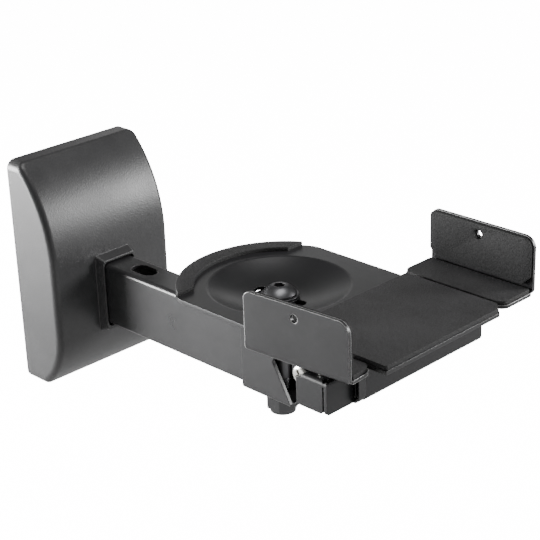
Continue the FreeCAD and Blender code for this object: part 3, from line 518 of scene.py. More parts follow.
@dataclass(frozen=True)
class Finish:
    """One surface finish and how it catches light.

    The edge's radius and the relief's depth are in metres, and the other numbers are shares.
    """

    name: str
    texture: Texture
    colour: Colour
    # Colour and amount of the edge mark: worn paint and a painted highlight along the edges.
    rubbed_and_highlit_colour: Colour
    roughness: float
    relief: float
    dust: float
    metallic: float = 0.0
    specular: float = 0.5
    edge_radius: float = 0.5 * MM
    rubbed_and_highlit_edges: float = 0.25
    relief_depth: float = 0.1 * MM
    variation: float = 0.04
    mottle: float = 0.12
    grain: float = 0.0

    def build(self, groups: EffectGroups) -> bpy.types.Material:
        """Make the material.

        Args:
            groups: Effects that finishes share.

        Returns:
            The material, with all its nodes.
        """
        material = bpy.data.materials.new(self.name)
        material.use_nodes = True
        tree = material.node_tree
        tree.nodes.clear()
        chain = NodeChain(tree)
        output = chain.add("ShaderNodeOutputMaterial")
        shader = chain.add("ShaderNodeBsdfPrincipled")
        chain.join(shader.outputs[0], output.inputs["Surface"])
        shader.inputs["Metallic"].default_value = self.metallic
        shader.inputs["Specular IOR Level"].default_value = self.specular

        soft = chain.add("ShaderNodeBevel", samples=BEVEL_SAMPLES)
        soft.inputs["Radius"].default_value = self.edge_radius
        edge = chain.add("ShaderNodeGroup", node_tree=groups.edge)
        chain.join(soft.outputs["Normal"], edge.inputs["Rounded"])
        edge.inputs["Amount"].default_value = self.rubbed_and_highlit_edges
        dust = chain.add("ShaderNodeGroup", node_tree=groups.dust)
        dust.inputs["Amount"].default_value = self.dust
        relief = chain.add("ShaderNodeGroup", node_tree=groups.reliefs[self.texture])

        self._colour(chain, shader, edge, dust, relief)
        self._gloss(chain, shader, dust, relief)
        bump = chain.add("ShaderNodeBump")
        bump.inputs["Strength"].default_value = self.relief
        bump.inputs["Distance"].default_value = self.relief_depth
        chain.join(relief.outputs["Height"], bump.inputs["Height"])
        chain.join(soft.outputs["Normal"], bump.inputs["Normal"])
        chain.join(bump.outputs["Normal"], shader.inputs["Normal"])
        return material

    def _colour(self, chain: NodeChain, shader: bpy.types.Node, edge: bpy.types.Node,
                dust: bpy.types.Node, relief: bpy.types.Node) -> None:
        """Join up the base colour: mottle, edges lightened by wear and by a painted highlight, and dust.

        Args:
            chain: Helper of the material's tree.
            shader: The main shader.
            edge: Mask of worn edges with a painted highlight.
            dust: Dust mask.
            relief: Relief group.
        """
        dark = tuple(part * (1.0 - self.mottle) for part in self.colour)
        light = tuple(min(1.0, part * (1.0 + self.mottle)) for part in self.colour)
        cloud = chain.spread(relief.outputs["Variation"], low=-1.0, high=1.0, to_low=0.0,
                             to_high=1.0)
        rise = chain.maths("SUBTRACT", relief.outputs["Height"], GRAIN_LEVEL)
        grain = chain.maths("MULTIPLY", rise, self.grain)
        share = chain.maths("ADD", cloud, grain, clamp=True)
        body = chain.blend(share, dark, light)
        # Edges take the edge colour, which stands for worn paint and a painted highlight.
        edges_rubbed_and_lit = chain.blend(edge.outputs["Mask"], body, self.rubbed_and_highlit_colour)
        dusty = chain.blend(dust.outputs["Mask"], edges_rubbed_and_lit, DUST_COLOUR)
        chain.join(dusty, shader.inputs["Base Color"])

    def _gloss(self, chain: NodeChain, shader: bpy.types.Node, dust: bpy.types.Node,
               relief: bpy.types.Node) -> None:
        """Join up the roughness.

        Args:
            chain: Helper of the material's tree.
            shader: The main shader.
            dust: Dust mask.
            relief: Relief group.
        """
        shift = chain.maths("MULTIPLY", relief.outputs["Variation"], self.variation)
        base = chain.maths("ADD", shift, self.roughness)
        dull = chain.maths("MULTIPLY", dust.outputs["Mask"], DUST_ROUGHNESS)
        dusty = chain.maths("ADD", base, dull, clamp=True)
        chain.join(dusty, shader.inputs["Roughness"])


# Edge colours hold worn paint and painted highlights along the edges.
FINISHES: Tuple[Finish, ...] = (
    Finish("cover_plastic", Texture.MOULDED, (0.030, 0.030, 0.031), (0.07, 0.07, 0.072), 0.37,
           relief=0.45, edge_radius=0.9 * MM, rubbed_and_highlit_edges=0.2, dust=0.02, grain=0.5),
    Finish("arm_paint", Texture.POWDER, (0.018, 0.018, 0.019), (0.34, 0.34, 0.34), 0.30,
           relief=0.22, edge_radius=0.6 * MM, rubbed_and_highlit_edges=0.4, dust=0.03, grain=0.5),
    Finish("bracket_paint", Texture.POWDER, (0.012, 0.012, 0.013), (0.12, 0.12, 0.12), 0.33,
           relief=0.2, edge_radius=0.7 * MM, rubbed_and_highlit_edges=0.4, dust=0.02, grain=0.4),
    Finish("tray_paint", Texture.POWDER, (0.011, 0.011, 0.012), (0.10, 0.10, 0.10), 0.34,
           relief=0.14, edge_radius=0.6 * MM, rubbed_and_highlit_edges=0.3, dust=0.02, grain=0.4),
    # The clamp plates' pale edge colour at full amount paints bright highlight lines along their edges, with some
    # wear.
    Finish("clamp_paint", Texture.POWDER, (0.012, 0.012, 0.013), (0.60, 0.60, 0.60), 0.34,
           relief=0.22, edge_radius=0.8 * MM, rubbed_and_highlit_edges=1.0, dust=0.02, grain=0.5),
    # The channel and slide paint is the clamps' black powder coat made darker: painted shade on the parts under the
    # tray.
    Finish("painted_shade_channel_coat", Texture.POWDER, (0.005, 0.005, 0.006), (0.12, 0.12, 0.12), 0.40,
           relief=0.18, specular=0.38, rubbed_and_highlit_edges=0.35, dust=0.02, grain=0.4),
    Finish("liner_plastic", Texture.MOULDED, (0.006, 0.006, 0.007), (0.05, 0.05, 0.05), 0.26,
           relief=0.06, dust=0.0),
    Finish("foam", Texture.FOAM, (0.015, 0.015, 0.0155), (0.05, 0.05, 0.05), 0.66, relief=0.9,
           relief_depth=0.24 * MM, edge_radius=0.3 * MM, specular=0.4, dust=0.02, mottle=0.6,
           grain=2.6),
    # The lip foam is the foam made darker: painted shade on the lips' upright inner faces.
    Finish("lip_pad_foam_painted_shade", Texture.FOAM, (0.008, 0.008, 0.0083), (0.03, 0.03, 0.03), 0.70, relief=0.9,
           relief_depth=0.24 * MM, edge_radius=0.3 * MM, specular=0.3, dust=0.02, mottle=0.8,
           grain=4.0),
    Finish("black_oxide", Texture.TURNED, (0.13, 0.13, 0.135), (0.45, 0.45, 0.45), 0.38,
           metallic=1.0, relief=0.06, edge_radius=0.25 * MM, dust=0.0),
    Finish("zinc_plate", Texture.BRUSHED, (0.66, 0.65, 0.62), (0.85, 0.85, 0.83), 0.22,
           metallic=1.0, relief=0.10, edge_radius=0.25 * MM, dust=0.0),
    Finish("dull_zinc", Texture.BRUSHED, (0.09, 0.09, 0.092), (0.75, 0.75, 0.74), 0.14,
           metallic=1.0, relief=0.10, edge_radius=0.25 * MM, dust=0.0),
    Finish("wall_zinc", Texture.BRUSHED, (0.20, 0.20, 0.195), (0.50, 0.50, 0.50), 0.42,
           metallic=0.9, relief=0.14, dust=0.05),
    Finish("nylon", Texture.MOULDED, (0.020, 0.020, 0.024), (0.05, 0.05, 0.06), 0.5,
           relief=0.10, dust=0.0),
    Finish("rivet_steel", Texture.BRUSHED, (0.50, 0.50, 0.49), (0.75, 0.75, 0.74), 0.28,
           metallic=1.0, relief=0.08, edge_radius=0.25 * MM, dust=0.0),
)

NODE_FINISH: Dict[str, str] = {
    "wall_plate": "wall_zinc",
    "wall_cover": "cover_plastic",
    "arm_tube": "arm_paint",
    "arm_end_bracket": "bracket_paint",
    "head_washer": "black_oxide",
    "bottom_washer": "dull_zinc",
    "dished_washer": "black_oxide",
    "pivot_seat": "bracket_paint",
    "lock_nut": "dull_zinc",
    "nut_insert": "nylon",
    "tray_plate": "tray_paint",
    "guide_channel": "painted_shade_channel_coat",
    "slide_liner": "liner_plastic",
    "channel_rivets": "rivet_steel",
    "near_clamp_plate": "clamp_paint",
    "near_clamp_slide": "painted_shade_channel_coat",
    "near_clamp_spacers": "rivet_steel",
    "far_clamp_plate": "clamp_paint",
    "far_clamp_slide": "painted_shade_channel_coat",
    "far_clamp_spacers": "rivet_steel",
    "screw_washer": "zinc_plate",
    "clamp_nut": "zinc_plate",
}


class Workshop:
    """Builds finishes once and turns meshes into placed pieces."""

    def __init__(self) -> None:
        """Build every finish."""
        groups = EffectGroups()
        self.materials = {finish.name: finish.build(groups) for finish in FINISHES}

    def dress_nodes(self) -> None:
        """Give each CAD node its finish."""
        for name, finish in NODE_FINISH.items():
            node = frame["nodes"][name]
            node.data.materials.clear()
            node.data.materials.append(self.materials[finish])

    def piece(self, name: str, mesh: bmesh.types.BMesh, finish: str, body: Body, slot: str,
              stands_for: Sequence[str]) -> bpy.types.Object:
        """Make an object of a mesh and tie it to its body.

        Args:
            name: Name of the piece.
            mesh: Its mesh, placed in the part's frame.
            finish: Name of its finish.
            body: Body that it rides on.
            slot: Material slot of the record.
            stands_for: CAD nodes that it is shown in place of.

        Returns:
            The new object.
        """
        bmesh.ops.recalc_face_normals(mesh, faces=mesh.faces)
        data = bpy.data.meshes.new(name)
        mesh.to_mesh(data)
        mesh.free()
        for polygon in data.polygons:
            polygon.use_smooth = True
        data.set_sharp_from_angle(angle=SHARP_ANGLE)
        data.materials.append(self.materials[finish])
        piece = bpy.data.objects.new(name, data)
        bpy.context.scene.collection.objects.link(piece)
        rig.ride(piece, body.value)
        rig.slot(piece, slot)
        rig.replaces(piece, *stands_for)
        return piece


def arc(centre: Point2, radius: float, start: float, end: float, steps: int) -> List[Point2]:
    """Give points along an arc.

    Args:
        centre: Centre of the arc.
        radius: Its radius.
        start: First angle, in radians.
        end: Last angle, in radians.
        steps: Number of chords.

    Returns:
        The points.
    """
    angles = [start + (end - start) * number / steps for number in range(steps + 1)]
    return [(centre[0] + radius * math.cos(angle), centre[1] + radius * math.sin(angle))
            for angle in angles]


def rounded_outline(corners: Sequence[Point2], radii: Sequence[float],
                    steps: int = 6) -> List[Point2]:
    """Round the corners of a convex outline that runs anticlockwise.

    Args:
        corners: The corners in order.
        radii: Radius at each corner.
        steps: Chords in each round.

    Returns:
        The outline's points.
    """
    points: List[Point2] = []
    for index, corner in enumerate(corners):
        here = Vector(corner)
        before = (Vector(corners[index - 1]) - here).normalized()
        after = (Vector(corners[(index + 1) % len(corners)]) - here).normalized()
        half = before.angle(after) / 2
        reach = radii[index] / math.tan(half)
        centre = here + (before + after).normalized() * radii[index] / math.sin(half)
        first, last = here + before * reach - centre, here + after * reach - centre
        start, end = math.atan2(first.y, first.x), math.atan2(last.y, last.x)
        while end < start:
            end += FULL_TURN
        points += arc((centre.x, centre.y), radii[index], start, end, steps)
    return points


def foam_slab(outline: Sequence[Point2], thickness: float, soft: float,
              holes: Sequence[Tuple[Point2, float]] = ()) -> bmesh.types.BMesh:
    """Raise an outline into a slab with a soft upper edge.

    Args:
        outline: Points of the edge, anticlockwise.
        thickness: Height of the slab.
        soft: Radius of the upper edge.
        holes: Centre and radius of each round hole.

    Returns:
        The slab, lying on the plane of zero height.
    """
    mesh = bmesh.new()
    chords = HOLE_STEPS - 1
    loops = [list(outline)] + [arc(centre, radius, 0.0, FULL_TURN * chords / HOLE_STEPS, chords)
                               for centre, radius in holes]
    for loop in loops:
        vertices = [mesh.verts.new((x, y, 0.0)) for x, y in loop]
        for index, vertex in enumerate(vertices):
            mesh.edges.new((vertex, vertices[(index + 1) % len(vertices)]))
    bmesh.ops.triangle_fill(mesh, use_beauty=True, use_dissolve=False, edges=mesh.edges[:],
                            normal=(0, 0, 1))
    raised = bmesh.ops.extrude_face_region(mesh, geom=mesh.faces[:], use_keep_orig=True)
    tops = [item for item in raised["geom"] if isinstance(item, bmesh.types.BMVert)]
    bmesh.ops.translate(mesh, verts=tops, vec=(0, 0, thickness))
    middle = thickness / 2
    rim = [edge for edge in mesh.edges if all(vertex.co.z > middle for vertex in edge.verts)
           and any(all(v.co.z > middle for v in face.verts) for face in edge.link_faces)
           and any(any(v.co.z < middle for v in face.verts) for face in edge.link_faces)]
    bmesh.ops.bevel(mesh, geom=rim, offset=soft, offset_type="OFFSET", segments=3, profile=0.5,
                    affect="EDGES", clamp_overlap=True, material=-1)
    return mesh


@dataclass(frozen=True)
class FoamPads:
    """Foam on the tray, the shelves and the lips."""

    shop: Workshop
    soft: float = 0.6 * MM
    rim_width: float = 10.3 * MM
    rim_outer_steps: int = 48
    rim_inner_steps: int = 44
    front_cut: float = 5.0 * MM
    front_radii: Tuple[float, ...] = (0.8 * MM, 1.5 * MM, 1.5 * MM, 1.5 * MM, 0.8 * MM)
    shelf_setback: float = 3.8 * MM
    shelf_margin: float = 0.4 * MM
    shelf_lip_radius: float = 0.8 * MM
    shelf_edge_radius: float = 5.6 * MM
    lip_pad_thickness: float = 2.4 * MM
    lip_thickness: float = 2.0 * MM
    lip_cut: float = 5.0 * MM
    lip_radii: Tuple[float, ...] = (1.0 * MM, 1.0 * MM, 1.0 * MM, 6.3 * MM, 2.8 * MM, 1.0 * MM)
    hole_place: Point2 = (PIVOT_X + 0.0765, 0.0703)
    hole_radius: float = 3.0 * MM

    def build(self) -> List[bpy.types.Object]:
        """Returns:
            The pads.
        """
        pieces = [self._rim_pad(), self._front_pad()]
        for clamp in (NEAR_CLAMP, FAR_CLAMP):
            pieces += [self._shelf_pad(clamp), self._lip_pad(clamp)]
        for piece in pieces:
            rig.padded(piece, fill=1.0)
        return pieces

    def _finish(self, name: str, mesh: bmesh.types.BMesh, body: Body, node: str,
                finish: str = "foam") -> bpy.types.Object:
        """Make one pad's object.

        Args:
            name: Name of the piece.
            mesh: Its mesh.
            body: Body that it rides on.
            node: CAD node that it is shown in place of.
            finish: Name of its finish.

        Returns:
            The pad.
        """
        return self.shop.piece(name, mesh, finish, body, "foam", [node])

    def _rim_pad(self) -> bpy.types.Object:
        """Build the arc of foam on the tray's round back.

        Returns:
            The pad.
        """
        low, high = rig.box("rim_pad")
        outer = PIVOT_X - low.x
        inner = outer - self.rim_width
        ahead = PIVOT_X - high.x
        reach, turn = math.acos(ahead / outer), math.acos(ahead / inner)
        centre = (PIVOT_X, 0.0)
        points = arc(centre, outer, math.pi - reach, math.pi + reach, self.rim_outer_steps)
        points += reversed(arc(centre, inner, math.pi - turn, math.pi + turn,
                               self.rim_inner_steps))
        points = [(x, max(min(y, high.y), low.y)) for x, y in points]
        mesh = foam_slab(points, high.z - low.z, self.soft)
        bmesh.ops.translate(mesh, verts=mesh.verts, vec=(0, 0, low.z))
        return self._finish("rim_foam", mesh, Body.TRAY, "rim_pad")

    def _front_pad(self) -> bpy.types.Object:
        """Build the foam on the tray's front half, with one corner cut off.

        Returns:
            The pad.
        """
        low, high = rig.box("front_pad")
        corners = [(low.x, low.y), (high.x, low.y), (high.x, high.y - self.front_cut),
                   (high.x - self.front_cut, high.y), (low.x, high.y)]
        outline = rounded_outline(corners, self.front_radii)
        mesh = foam_slab(outline, high.z - low.z, self.soft)
        bmesh.ops.translate(mesh, verts=mesh.verts, vec=(0, 0, low.z))
        return self._finish("front_foam", mesh, Body.TRAY, "front_pad")

    def _turn_out(self, mesh: bmesh.types.BMesh, clamp: ClampSide) -> None:
        """Turn a clamp's foam with its plate.

        Args:
            mesh: The pad's mesh.
            clamp: The clamp that carries it.
        """
        bmesh.ops.rotate(mesh, verts=mesh.verts, cent=(LIP_MIDDLE_X, clamp.lip_y, 0.0),
                         matrix=Matrix.Rotation(clamp.toe, 3, "Z"))

    def _shelf_pad(self, clamp: ClampSide) -> bpy.types.Object:
        """Build the foam on a clamp's shelf.

        Args:
            clamp: The clamp that carries it.

        Returns:
            The pad.
        """
        name = clamp.body.value
        low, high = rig.box(name + "_shelf_pad")
        outer = clamp.lip_y - clamp.way * self.shelf_setback
        inner = clamp.lip_y - clamp.way * (clamp.shelf_width - self.shelf_margin)
        back, front = clamp.pad_ends
        bottom, top = sorted((outer, inner))
        lip_corners, edge_corners = [self.shelf_lip_radius] * 2, [self.shelf_edge_radius] * 2
        radii = lip_corners + edge_corners if clamp.way < 0 else edge_corners + lip_corners
        outline = rounded_outline([(back, bottom), (front, bottom), (front, top), (back, top)],
                                  radii)
        mesh = foam_slab(outline, high.z - low.z, self.soft)
        bmesh.ops.translate(mesh, verts=mesh.verts, vec=(0, 0, low.z))
        self._turn_out(mesh, clamp)
        return self._finish(name + "_shelf_foam", mesh, clamp.body, name + "_shelf_pad")

    def _lip_pad(self, clamp: ClampSide) -> bpy.types.Object:
        """Build the foam on the inside of a clamp's lip.

        Args:
            clamp: The clamp that carries it.

        Returns:
            The pad.
        """
        name = clamp.body.value
        low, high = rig.box(name + "_lip_pad")
        back, front = clamp.pad_ends
        corners = [(back + self.lip_cut, low.z), (front - self.lip_cut, low.z),
                   (front, low.z + self.lip_cut), (front, high.z), (back, high.z),
                   (back, low.z + self.lip_cut)]
        mesh = foam_slab(rounded_outline(corners, self.lip_radii), self.lip_pad_thickness,
                         self.soft, [(self.hole_place, self.hole_radius)])
        # The slab lies flat: its own height becomes the way out of the lip's inner face
        stand = Matrix(((1, 0, 0), (0, 0, -clamp.way), (0, 1, 0)))
        bmesh.ops.transform(mesh, matrix=stand.to_4x4(), verts=mesh.verts)
        inner_face = clamp.lip_y - clamp.way * self.lip_thickness
        bmesh.ops.translate(mesh, verts=mesh.verts, vec=(0, inner_face, 0))
        self._turn_out(mesh, clamp)
        # The lip pads take the darker foam with painted shade.
        return self._finish(name + "_lip_pad_foam_painted_shade", mesh, clamp.body, name + "_lip_pad", "lip_pad_foam_painted_shade")


def threaded_shank(radius: float, pitch: float, depth: float, length: float,
                   around: int) -> bmesh.types.BMesh:
    """Make a threaded rod that stands on the origin along Z.

    Args:
        radius: Outer radius.
        pitch: Rise of one turn.
        depth: Depth of the groove.
        length: Length of the rod.
        around: Faces round the rod.

    Returns:
        The rod's mesh, closed at both ends.
    """
    mesh = bmesh.new()
    rows = max(2, int(length / pitch * THREAD_ROWS))
    bmesh.ops.create_grid(mesh, x_segments=around, y_segments=rows, size=0.5)
    for vertex in mesh.verts:
        share, rise = vertex.co.x + 0.5, (vertex.co.y + 0.5) * length
        phase = (rise / pitch - share) % 1.0
        groove = min(1.0, (1.0 - abs(2.0 * phase - 1.0)) * FLANK_STEEPNESS)
        fade = min(1.0, rise / pitch, (length - rise) / pitch)
        reach = radius - depth * groove * fade - (1 - fade) * depth * END_SHARE
        angle = share * FULL_TURN
        vertex.co = Vector((reach * math.cos(angle), reach * math.sin(angle), rise))
    bmesh.ops.remove_doubles(mesh, verts=mesh.verts, dist=MERGE_DISTANCE)
    ends = [edge for edge in mesh.edges if edge.is_boundary]
    bmesh.ops.holes_fill(mesh, edges=ends, sides=0)
    return mesh


def lathe(profile: Sequence[Point2], steps: int) -> bmesh.types.BMesh:
    """Spin a profile about Z.

    Args:
        profile: Radius and height of each point, from the axis out and back to it.
        steps: Number of faces round the axis.

    Returns:
        The turned form, closed at its poles.
    """
    mesh = bmesh.new()
    points = [mesh.verts.new((radius, 0.0, height)) for radius, height in profile]
    edges = [mesh.edges.new(pair) for pair in zip(points, points[1:])]
    bmesh.ops.spin(mesh, geom=points + edges, cent=(0, 0, 0), axis=(0, 0, 1), angle=FULL_TURN,
                   steps=steps, use_merge=True)
    bmesh.ops.remove_doubles(mesh, verts=mesh.verts, dist=MERGE_DISTANCE)
    return mesh


def plain_neck(radius: float, top: float, bottom: float, steps: int) -> bmesh.types.BMesh:
    """Make the plain stretch of a shank, which reaches a little way into the head.

    Args:
        radius: Radius of the shank.
        top: Height at which the head sits.
        bottom: Height at which the thread ends.
        steps: Number of faces round the shank.

    Returns:
        The neck's mesh, closed at both ends.
    """
    into_head = 0.1 * MM
    return lathe([(0.0, top + into_head), (radius, top), (radius, bottom), (0.0, bottom)], steps)


def recess_outline(sides: int, reach: float, narrow: float) -> List[Point2]:
    """Give the mouth of a driving recess.

    Args:
        sides: Number of points of the recess: 6 for a hexagon, 4 for a cross.
        reach: Radius of the recess's corners.
        narrow: Half width of a cross's arms; zero makes a plain polygon.

    Returns:
        The mouth's points, anticlockwise.
    """
    points: List[Point2] = []
    for number in range(sides):
        angle = FULL_TURN * number / sides
        way = Vector((math.cos(angle), math.sin(angle)))
        across = Vector((-way.y, way.x))
        if narrow:
            points.append(tuple(way * reach - across * narrow))
            points.append(tuple(way * reach + across * narrow))
            points.append(tuple(way * narrow + across * narrow))
        else:
            points.append(tuple(way * reach))
    return points


def recessed_head(profile: Sequence[Point2], recess: Sequence[Point2],
                  depth: float) -> bmesh.types.BMesh:
    """Turn a screw head whose crown holds a driving recess.

    Args:
        profile: Radius and height of each point, from the crown's rim outward and down.
        recess: Points of the recess's mouth.
        depth: Depth of the recess.

    Returns:
        The head, closed above and below.
    """
    mesh = bmesh.new()
    crown, height = profile[0]
    angles = [FULL_TURN * number / HEAD_STEPS for number in range(HEAD_STEPS)]
    round_points = [(crown * math.cos(angle), crown * math.sin(angle)) for angle in angles]
    loops = []
    for points in (round_points, recess):
        corners = [mesh.verts.new((x, y, height)) for x, y in points]
        loops.append([mesh.edges.new((corner, corners[(number + 1) % len(corners)]))
                      for number, corner in enumerate(corners)])
    ring, mouth = loops
    bmesh.ops.triangle_fill(mesh, use_beauty=True, edges=ring + mouth, normal=(0, 0, 1))
    sunk = bmesh.ops.extrude_edge_only(mesh, edges=mouth)
    low = [item for item in sunk["geom"] if isinstance(item, bmesh.types.BMVert)]
    bmesh.ops.translate(mesh, verts=low, vec=(0, 0, -depth))
    bmesh.ops.contextual_create(mesh, geom=low)
    for radius, level in profile[1:]:
        grown = bmesh.ops.extrude_edge_only(mesh, edges=ring)
        ring = [item for item in grown["geom"] if isinstance(item, bmesh.types.BMEdge)]
        for vertex in {vertex for edge in ring for vertex in edge.verts}:
            flat = Vector((vertex.co.x, vertex.co.y)).normalized() * radius
            vertex.co = Vector((flat.x, flat.y, level))
    bmesh.ops.contextual_create(mesh, geom=list({v for edge in ring for v in edge.verts}))
    return mesh


def merged(*meshes: bmesh.types.BMesh) -> bmesh.types.BMesh:
    """Put several meshes into one.

    Args:
        meshes: The meshes, which are used up.

    Returns:
        One mesh with all their faces.
    """
    whole = bmesh.new()
    for mesh in meshes:
        scratch = bpy.data.meshes.new("scratch")
        mesh.to_mesh(scratch)
        mesh.free()
        whole.from_mesh(scratch)
        bpy.data.meshes.remove(scratch)
    return whole


@dataclass(frozen=True)
class PivotBolt:
    """The button head bolt that stands through the pivot."""

    shop: Workshop
    head_height: float = 5.5 * MM
    head_radius: float = 10.0 * MM
    dome_radius: float = 12.3 * MM
    dome_steps: int = 8
    rim_height: float = 1.1 * MM
    crown_drop: float = 0.05 * MM
    crown_radius: float = 4.2 * MM
    foot_height: float = 0.25 * MM
    foot_inset: float = 0.3 * MM
    socket_reach: float = 3.46 * MM
    socket_depth: float = 3.2 * MM
    shank_radius: float = 5.0 * MM
    neck_steps: int = 32
    thread_length: float = 24.0 * MM
    thread_pitch: float = 1.5 * MM
    thread_depth: float = 0.85 * MM
    thread_steps: int = 28

    def build(self) -> List[bpy.types.Object]:
        """Build the bolt.

        Returns:
            The bolt, as the one piece of this class.
        """
        low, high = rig.box("pivot_bolt")
        base = high.z - self.head_height
        thread_top = low.z + self.thread_length
        head = recessed_head(self._profile(base, high.z),
                             recess_outline(6, self.socket_reach, 0.0), self.socket_depth)
        neck = plain_neck(self.shank_radius, base, thread_top, self.neck_steps)
        thread = threaded_shank(self.shank_radius, self.thread_pitch, self.thread_depth,
                                self.thread_length, self.thread_steps)
        bmesh.ops.translate(thread, verts=thread.verts, vec=(0, 0, low.z))
        mesh = merged(head, neck, thread)
        bmesh.ops.translate(mesh, verts=mesh.verts, vec=(PIVOT_X, 0, 0))
        return [self.shop.piece("pivot_bolt_dressed", mesh, "black_oxide", Body.ROOT,
                                "dark_steel", ["pivot_bolt"])]

    def _profile(self, base: float, top: float) -> List[Point2]:
        """Give the head's outline, from its crown to its foot.

        Args:
            base: Height of the head's underside.
            top: Height of the head's top.

        Returns:
            Radius and height of each point.
        """
        rim_level = base + self.rim_height
        centre = rim_level - math.sqrt(self.dome_radius ** 2 - self.head_radius ** 2)
        flat = top - self.crown_drop
        crown = math.sqrt(max(self.dome_radius ** 2 - (flat - centre) ** 2,
                              self.crown_radius ** 2))
        profile = [(crown, flat)]
        for number in range(1, self.dome_steps + 1):
            level = flat + (rim_level - flat) * number / self.dome_steps
            profile.append((math.sqrt(self.dome_radius ** 2 - (level - centre) ** 2), level))
        return profile + [(self.head_radius, base + self.foot_height),
                          (self.head_radius - self.foot_inset, base)]


@dataclass(frozen=True)
class ClampScrew:
    """The cross recess screw that draws the clamps together.

    The dome holds the radius and the drop below the top of each point of the head, in metres.
    """

    shop: Workshop
    head_radius: float = 6.1 * MM
    head_height: float = 4.2 * MM
    dome: Tuple[Point2, ...] = ((3.9 * MM, 0.0), (4.9 * MM, 0.35 * MM), (5.6 * MM, 0.95 * MM),
                                (5.95 * MM, 1.7 * MM), (6.1 * MM, 2.5 * MM))
    foot_inset: float = 0.2 * MM
    cross_reach: float = 3.2 * MM
    cross_depth: float = 2.4 * MM
    cross_half_width: float = 0.75 * MM
    cross_turn: float = math.radians(28)
    shank_radius: float = 3.0 * MM
    neck_length: float = 4.0 * MM
    neck_steps: int = 28
    thread_pitch: float = 1.0 * MM
    thread_depth: float = 0.5 * MM
    thread_steps: int = 20

    def build(self) -> List[bpy.types.Object]:
        """Build the screw.

        Returns:
            The screw, as the one piece of this class.
        """
        low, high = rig.box("clamp_screw")
        length = high.y - low.y
        foot = length - self.head_height
        thread_length = foot - self.neck_length
        profile = [(radius, length - drop) for radius, drop in self.dome]
        profile += [(self.head_radius, foot + self.foot_inset),
                    (self.head_radius - self.foot_inset, foot)]
        cross = recess_outline(4, self.cross_reach, self.cross_half_width)
        mesh = merged(recessed_head(profile, cross, self.cross_depth),
                      plain_neck(self.shank_radius, foot, thread_length, self.neck_steps),
                      threaded_shank(self.shank_radius, self.thread_pitch, self.thread_depth,
                                     thread_length, self.thread_steps))
        bmesh.ops.rotate(mesh, verts=mesh.verts, cent=(0, 0, 0),
                         matrix=Matrix.Rotation(self.cross_turn, 3, "Z"))
        # A quarter turn about X points the head towards the near side
        bmesh.ops.rotate(mesh, verts=mesh.verts, cent=(0, 0, 0),
                         matrix=Matrix.Rotation(math.pi / 2, 3, "X"))
        place = ((low.x + high.x) / 2, high.y, (low.z + high.z) / 2)
        bmesh.ops.translate(mesh, verts=mesh.verts, vec=place)
        return [self.shop.piece("clamp_screw_dressed", mesh, "zinc_plate", Body.CLAMP_SCREW,
                                "screw_zinc", ["clamp_screw"])]


@dataclass(frozen=True)
class Lamp:
    """One soft rectangular lamp: places and sizes in metres, power in watts."""

    name: str
    place: Tuple[float, float, float]
    aim: Tuple[float, float, float]
    width: float
    height: float
    power: float

    def build(self) -> None:
        """Hang the lamp and point it."""
        data = bpy.data.lights.new(self.name, "AREA")
        data.shape = "RECTANGLE"
        data.size, data.size_y = self.width, self.height
        data.energy = self.power
        lamp = bpy.data.objects.new(self.name, data)
        lamp.location = self.place
        way = Vector(self.aim) - Vector(self.place)
        lamp.rotation_euler = way.to_track_quat("-Z", "Y").to_euler()
        bpy.context.scene.collection.objects.link(lamp)


LAMPS: Tuple[Lamp, ...] = (
    Lamp("near", (-0.80, -0.72, 0.10), (0.13, 0.0, 0.0), width=0.6, height=0.5, power=54.0),
    Lamp("above", (0.30, 0.0, 1.25), (0.15, 0.0, 0.0), width=0.9, height=0.5, power=10.0),
    Lamp("beyond", (0.90, 0.90, 0.33), (0.06, 0.0, 0.03), width=0.30, height=0.36, power=18.0),
    Lamp("wall", (-0.56, 0.74, 0.36), (0.20, 0.0, 0.04), width=0.5, height=0.3, power=0.45),
    Lamp("behind", (-0.95, 0.12, 0.24), (0.20, 0.0, 0.0), width=0.4, height=0.3, power=2.0),
)


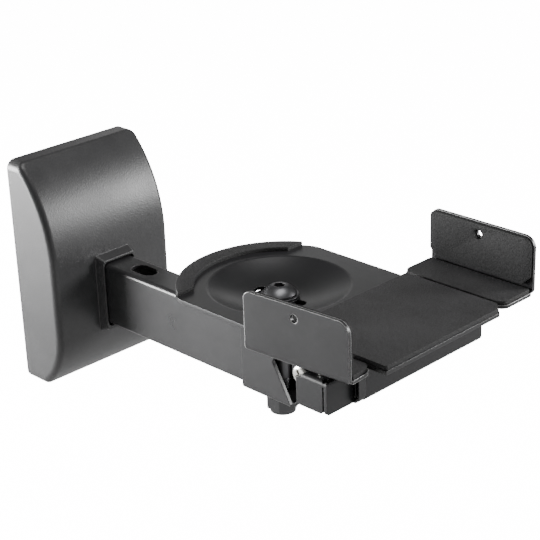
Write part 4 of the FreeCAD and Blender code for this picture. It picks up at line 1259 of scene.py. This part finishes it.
@dataclass(frozen=True)
class Studio:
    """Floor, light and camera: angles in degrees, the lens and its sensor in millimetres."""

    azimuth: float = 45.62
    elevation: float = 23.12
    roll: float = 1.93
    camera_place: Tuple[float, float, float] = (0.76308, -0.56794, 0.39887)
    lens: float = 102.67
    sensor_width: float = 36.0
    nearest: float = 0.05
    farthest: float = 20.0
    floor_level: float = -0.16
    floor_reach: float = 9.0
    floor_shade: float = 0.50
    floor_roughness: float = 0.9
    backdrop_glow: float = 15.0
    ambient: float = 0.14

    def build(self) -> None:
        """Set up the studio."""
        self._world()
        self._floor()
        for lamp in LAMPS:
            lamp.build()
        self._camera()

    def _world(self) -> None:
        """Light the scene with an even pale surround."""
        world = bpy.data.worlds.new("surround")
        world.use_nodes = True
        chain = NodeChain(world.node_tree)
        background = world.node_tree.nodes["Background"]
        background.inputs["Color"].default_value = (1.0, 1.0, 1.0, 1.0)
        seen = chain.add("ShaderNodeLightPath").outputs["Is Camera Ray"]
        glow = chain.maths("MULTIPLY", seen, self.backdrop_glow)
        chain.join(chain.maths("ADD", glow, self.ambient), background.inputs["Strength"])
        bpy.context.scene.world = world

    def _floor(self) -> None:
        """Lay a plain floor that shows white from above and doesn't show from below."""
        mesh = bmesh.new()
        bmesh.ops.create_grid(mesh, x_segments=2, y_segments=2, size=self.floor_reach)
        data = bpy.data.meshes.new("floor")
        mesh.to_mesh(data)
        mesh.free()
        floor = bpy.data.objects.new("floor", data)
        floor.location = (0.0, 0.0, self.floor_level)
        data.materials.append(self._floor_paint())
        bpy.context.scene.collection.objects.link(floor)
        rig.stage(floor)

    def _floor_paint(self) -> bpy.types.Material:
        """Make the floor's finish, which glows only where the camera sees it.

        Returns:
            The material.
        """
        material = bpy.data.materials.new("floor_paint")
        material.use_nodes = True
        chain = NodeChain(material.node_tree)
        shader = material.node_tree.nodes["Principled BSDF"]
        shader.inputs["Base Color"].default_value = (*(self.floor_shade,) * 3, 1.0)
        shader.inputs["Roughness"].default_value = self.floor_roughness
        shader.inputs["Emission Color"].default_value = (1.0, 1.0, 1.0, 1.0)
        seen = chain.add("ShaderNodeLightPath").outputs["Is Camera Ray"]
        chain.join(chain.maths("MULTIPLY", seen, self.backdrop_glow),
                   shader.inputs["Emission Strength"])
        below = chain.add("ShaderNodeNewGeometry").outputs["Backfacing"]
        chain.join(chain.maths("SUBTRACT", 1.0, below), shader.inputs["Alpha"])
        return material

    def _camera(self) -> None:
        """Set the camera at the photograph's viewing angle."""
        turn, rise, lean = (math.radians(angle) for angle in
                            (self.azimuth, self.elevation, self.roll))
        back = Vector((math.sin(turn) * math.cos(rise), -math.cos(turn) * math.cos(rise),
                       math.sin(rise)))
        level = Vector((math.cos(turn), math.sin(turn), 0.0))
        down = (-back).cross(level)
        right = level * math.cos(lean) + down * math.sin(lean)
        below = down * math.cos(lean) - level * math.sin(lean)
        rotation = Matrix((right, -below, back)).transposed().to_4x4()
        data = bpy.data.cameras.new("camera")
        data.lens = self.lens
        data.sensor_width = self.sensor_width
        data.clip_start, data.clip_end = self.nearest, self.farthest
        camera = bpy.data.objects.new("camera", data)
        camera.matrix_world = Matrix.Translation(self.camera_place) @ rotation
        bpy.context.scene.collection.objects.link(camera)
        bpy.context.scene.camera = camera


def main() -> None:
    """Dress the frame, add the built pieces and set up the studio."""
    logging.basicConfig(level=logging.INFO)
    store: Dict[str, object] = {}
    write_bounds("at_load", store)
    shop = Workshop()
    shop.dress_nodes()
    for assembly in (FoamPads(shop), PivotBolt(shop), ClampScrew(shop)):
        for piece in assembly.build():
            LOG.info("built %s", piece.name)
    Studio().build()
    write_bounds("at_finish", store)


if __name__ == "__main__":
    main()
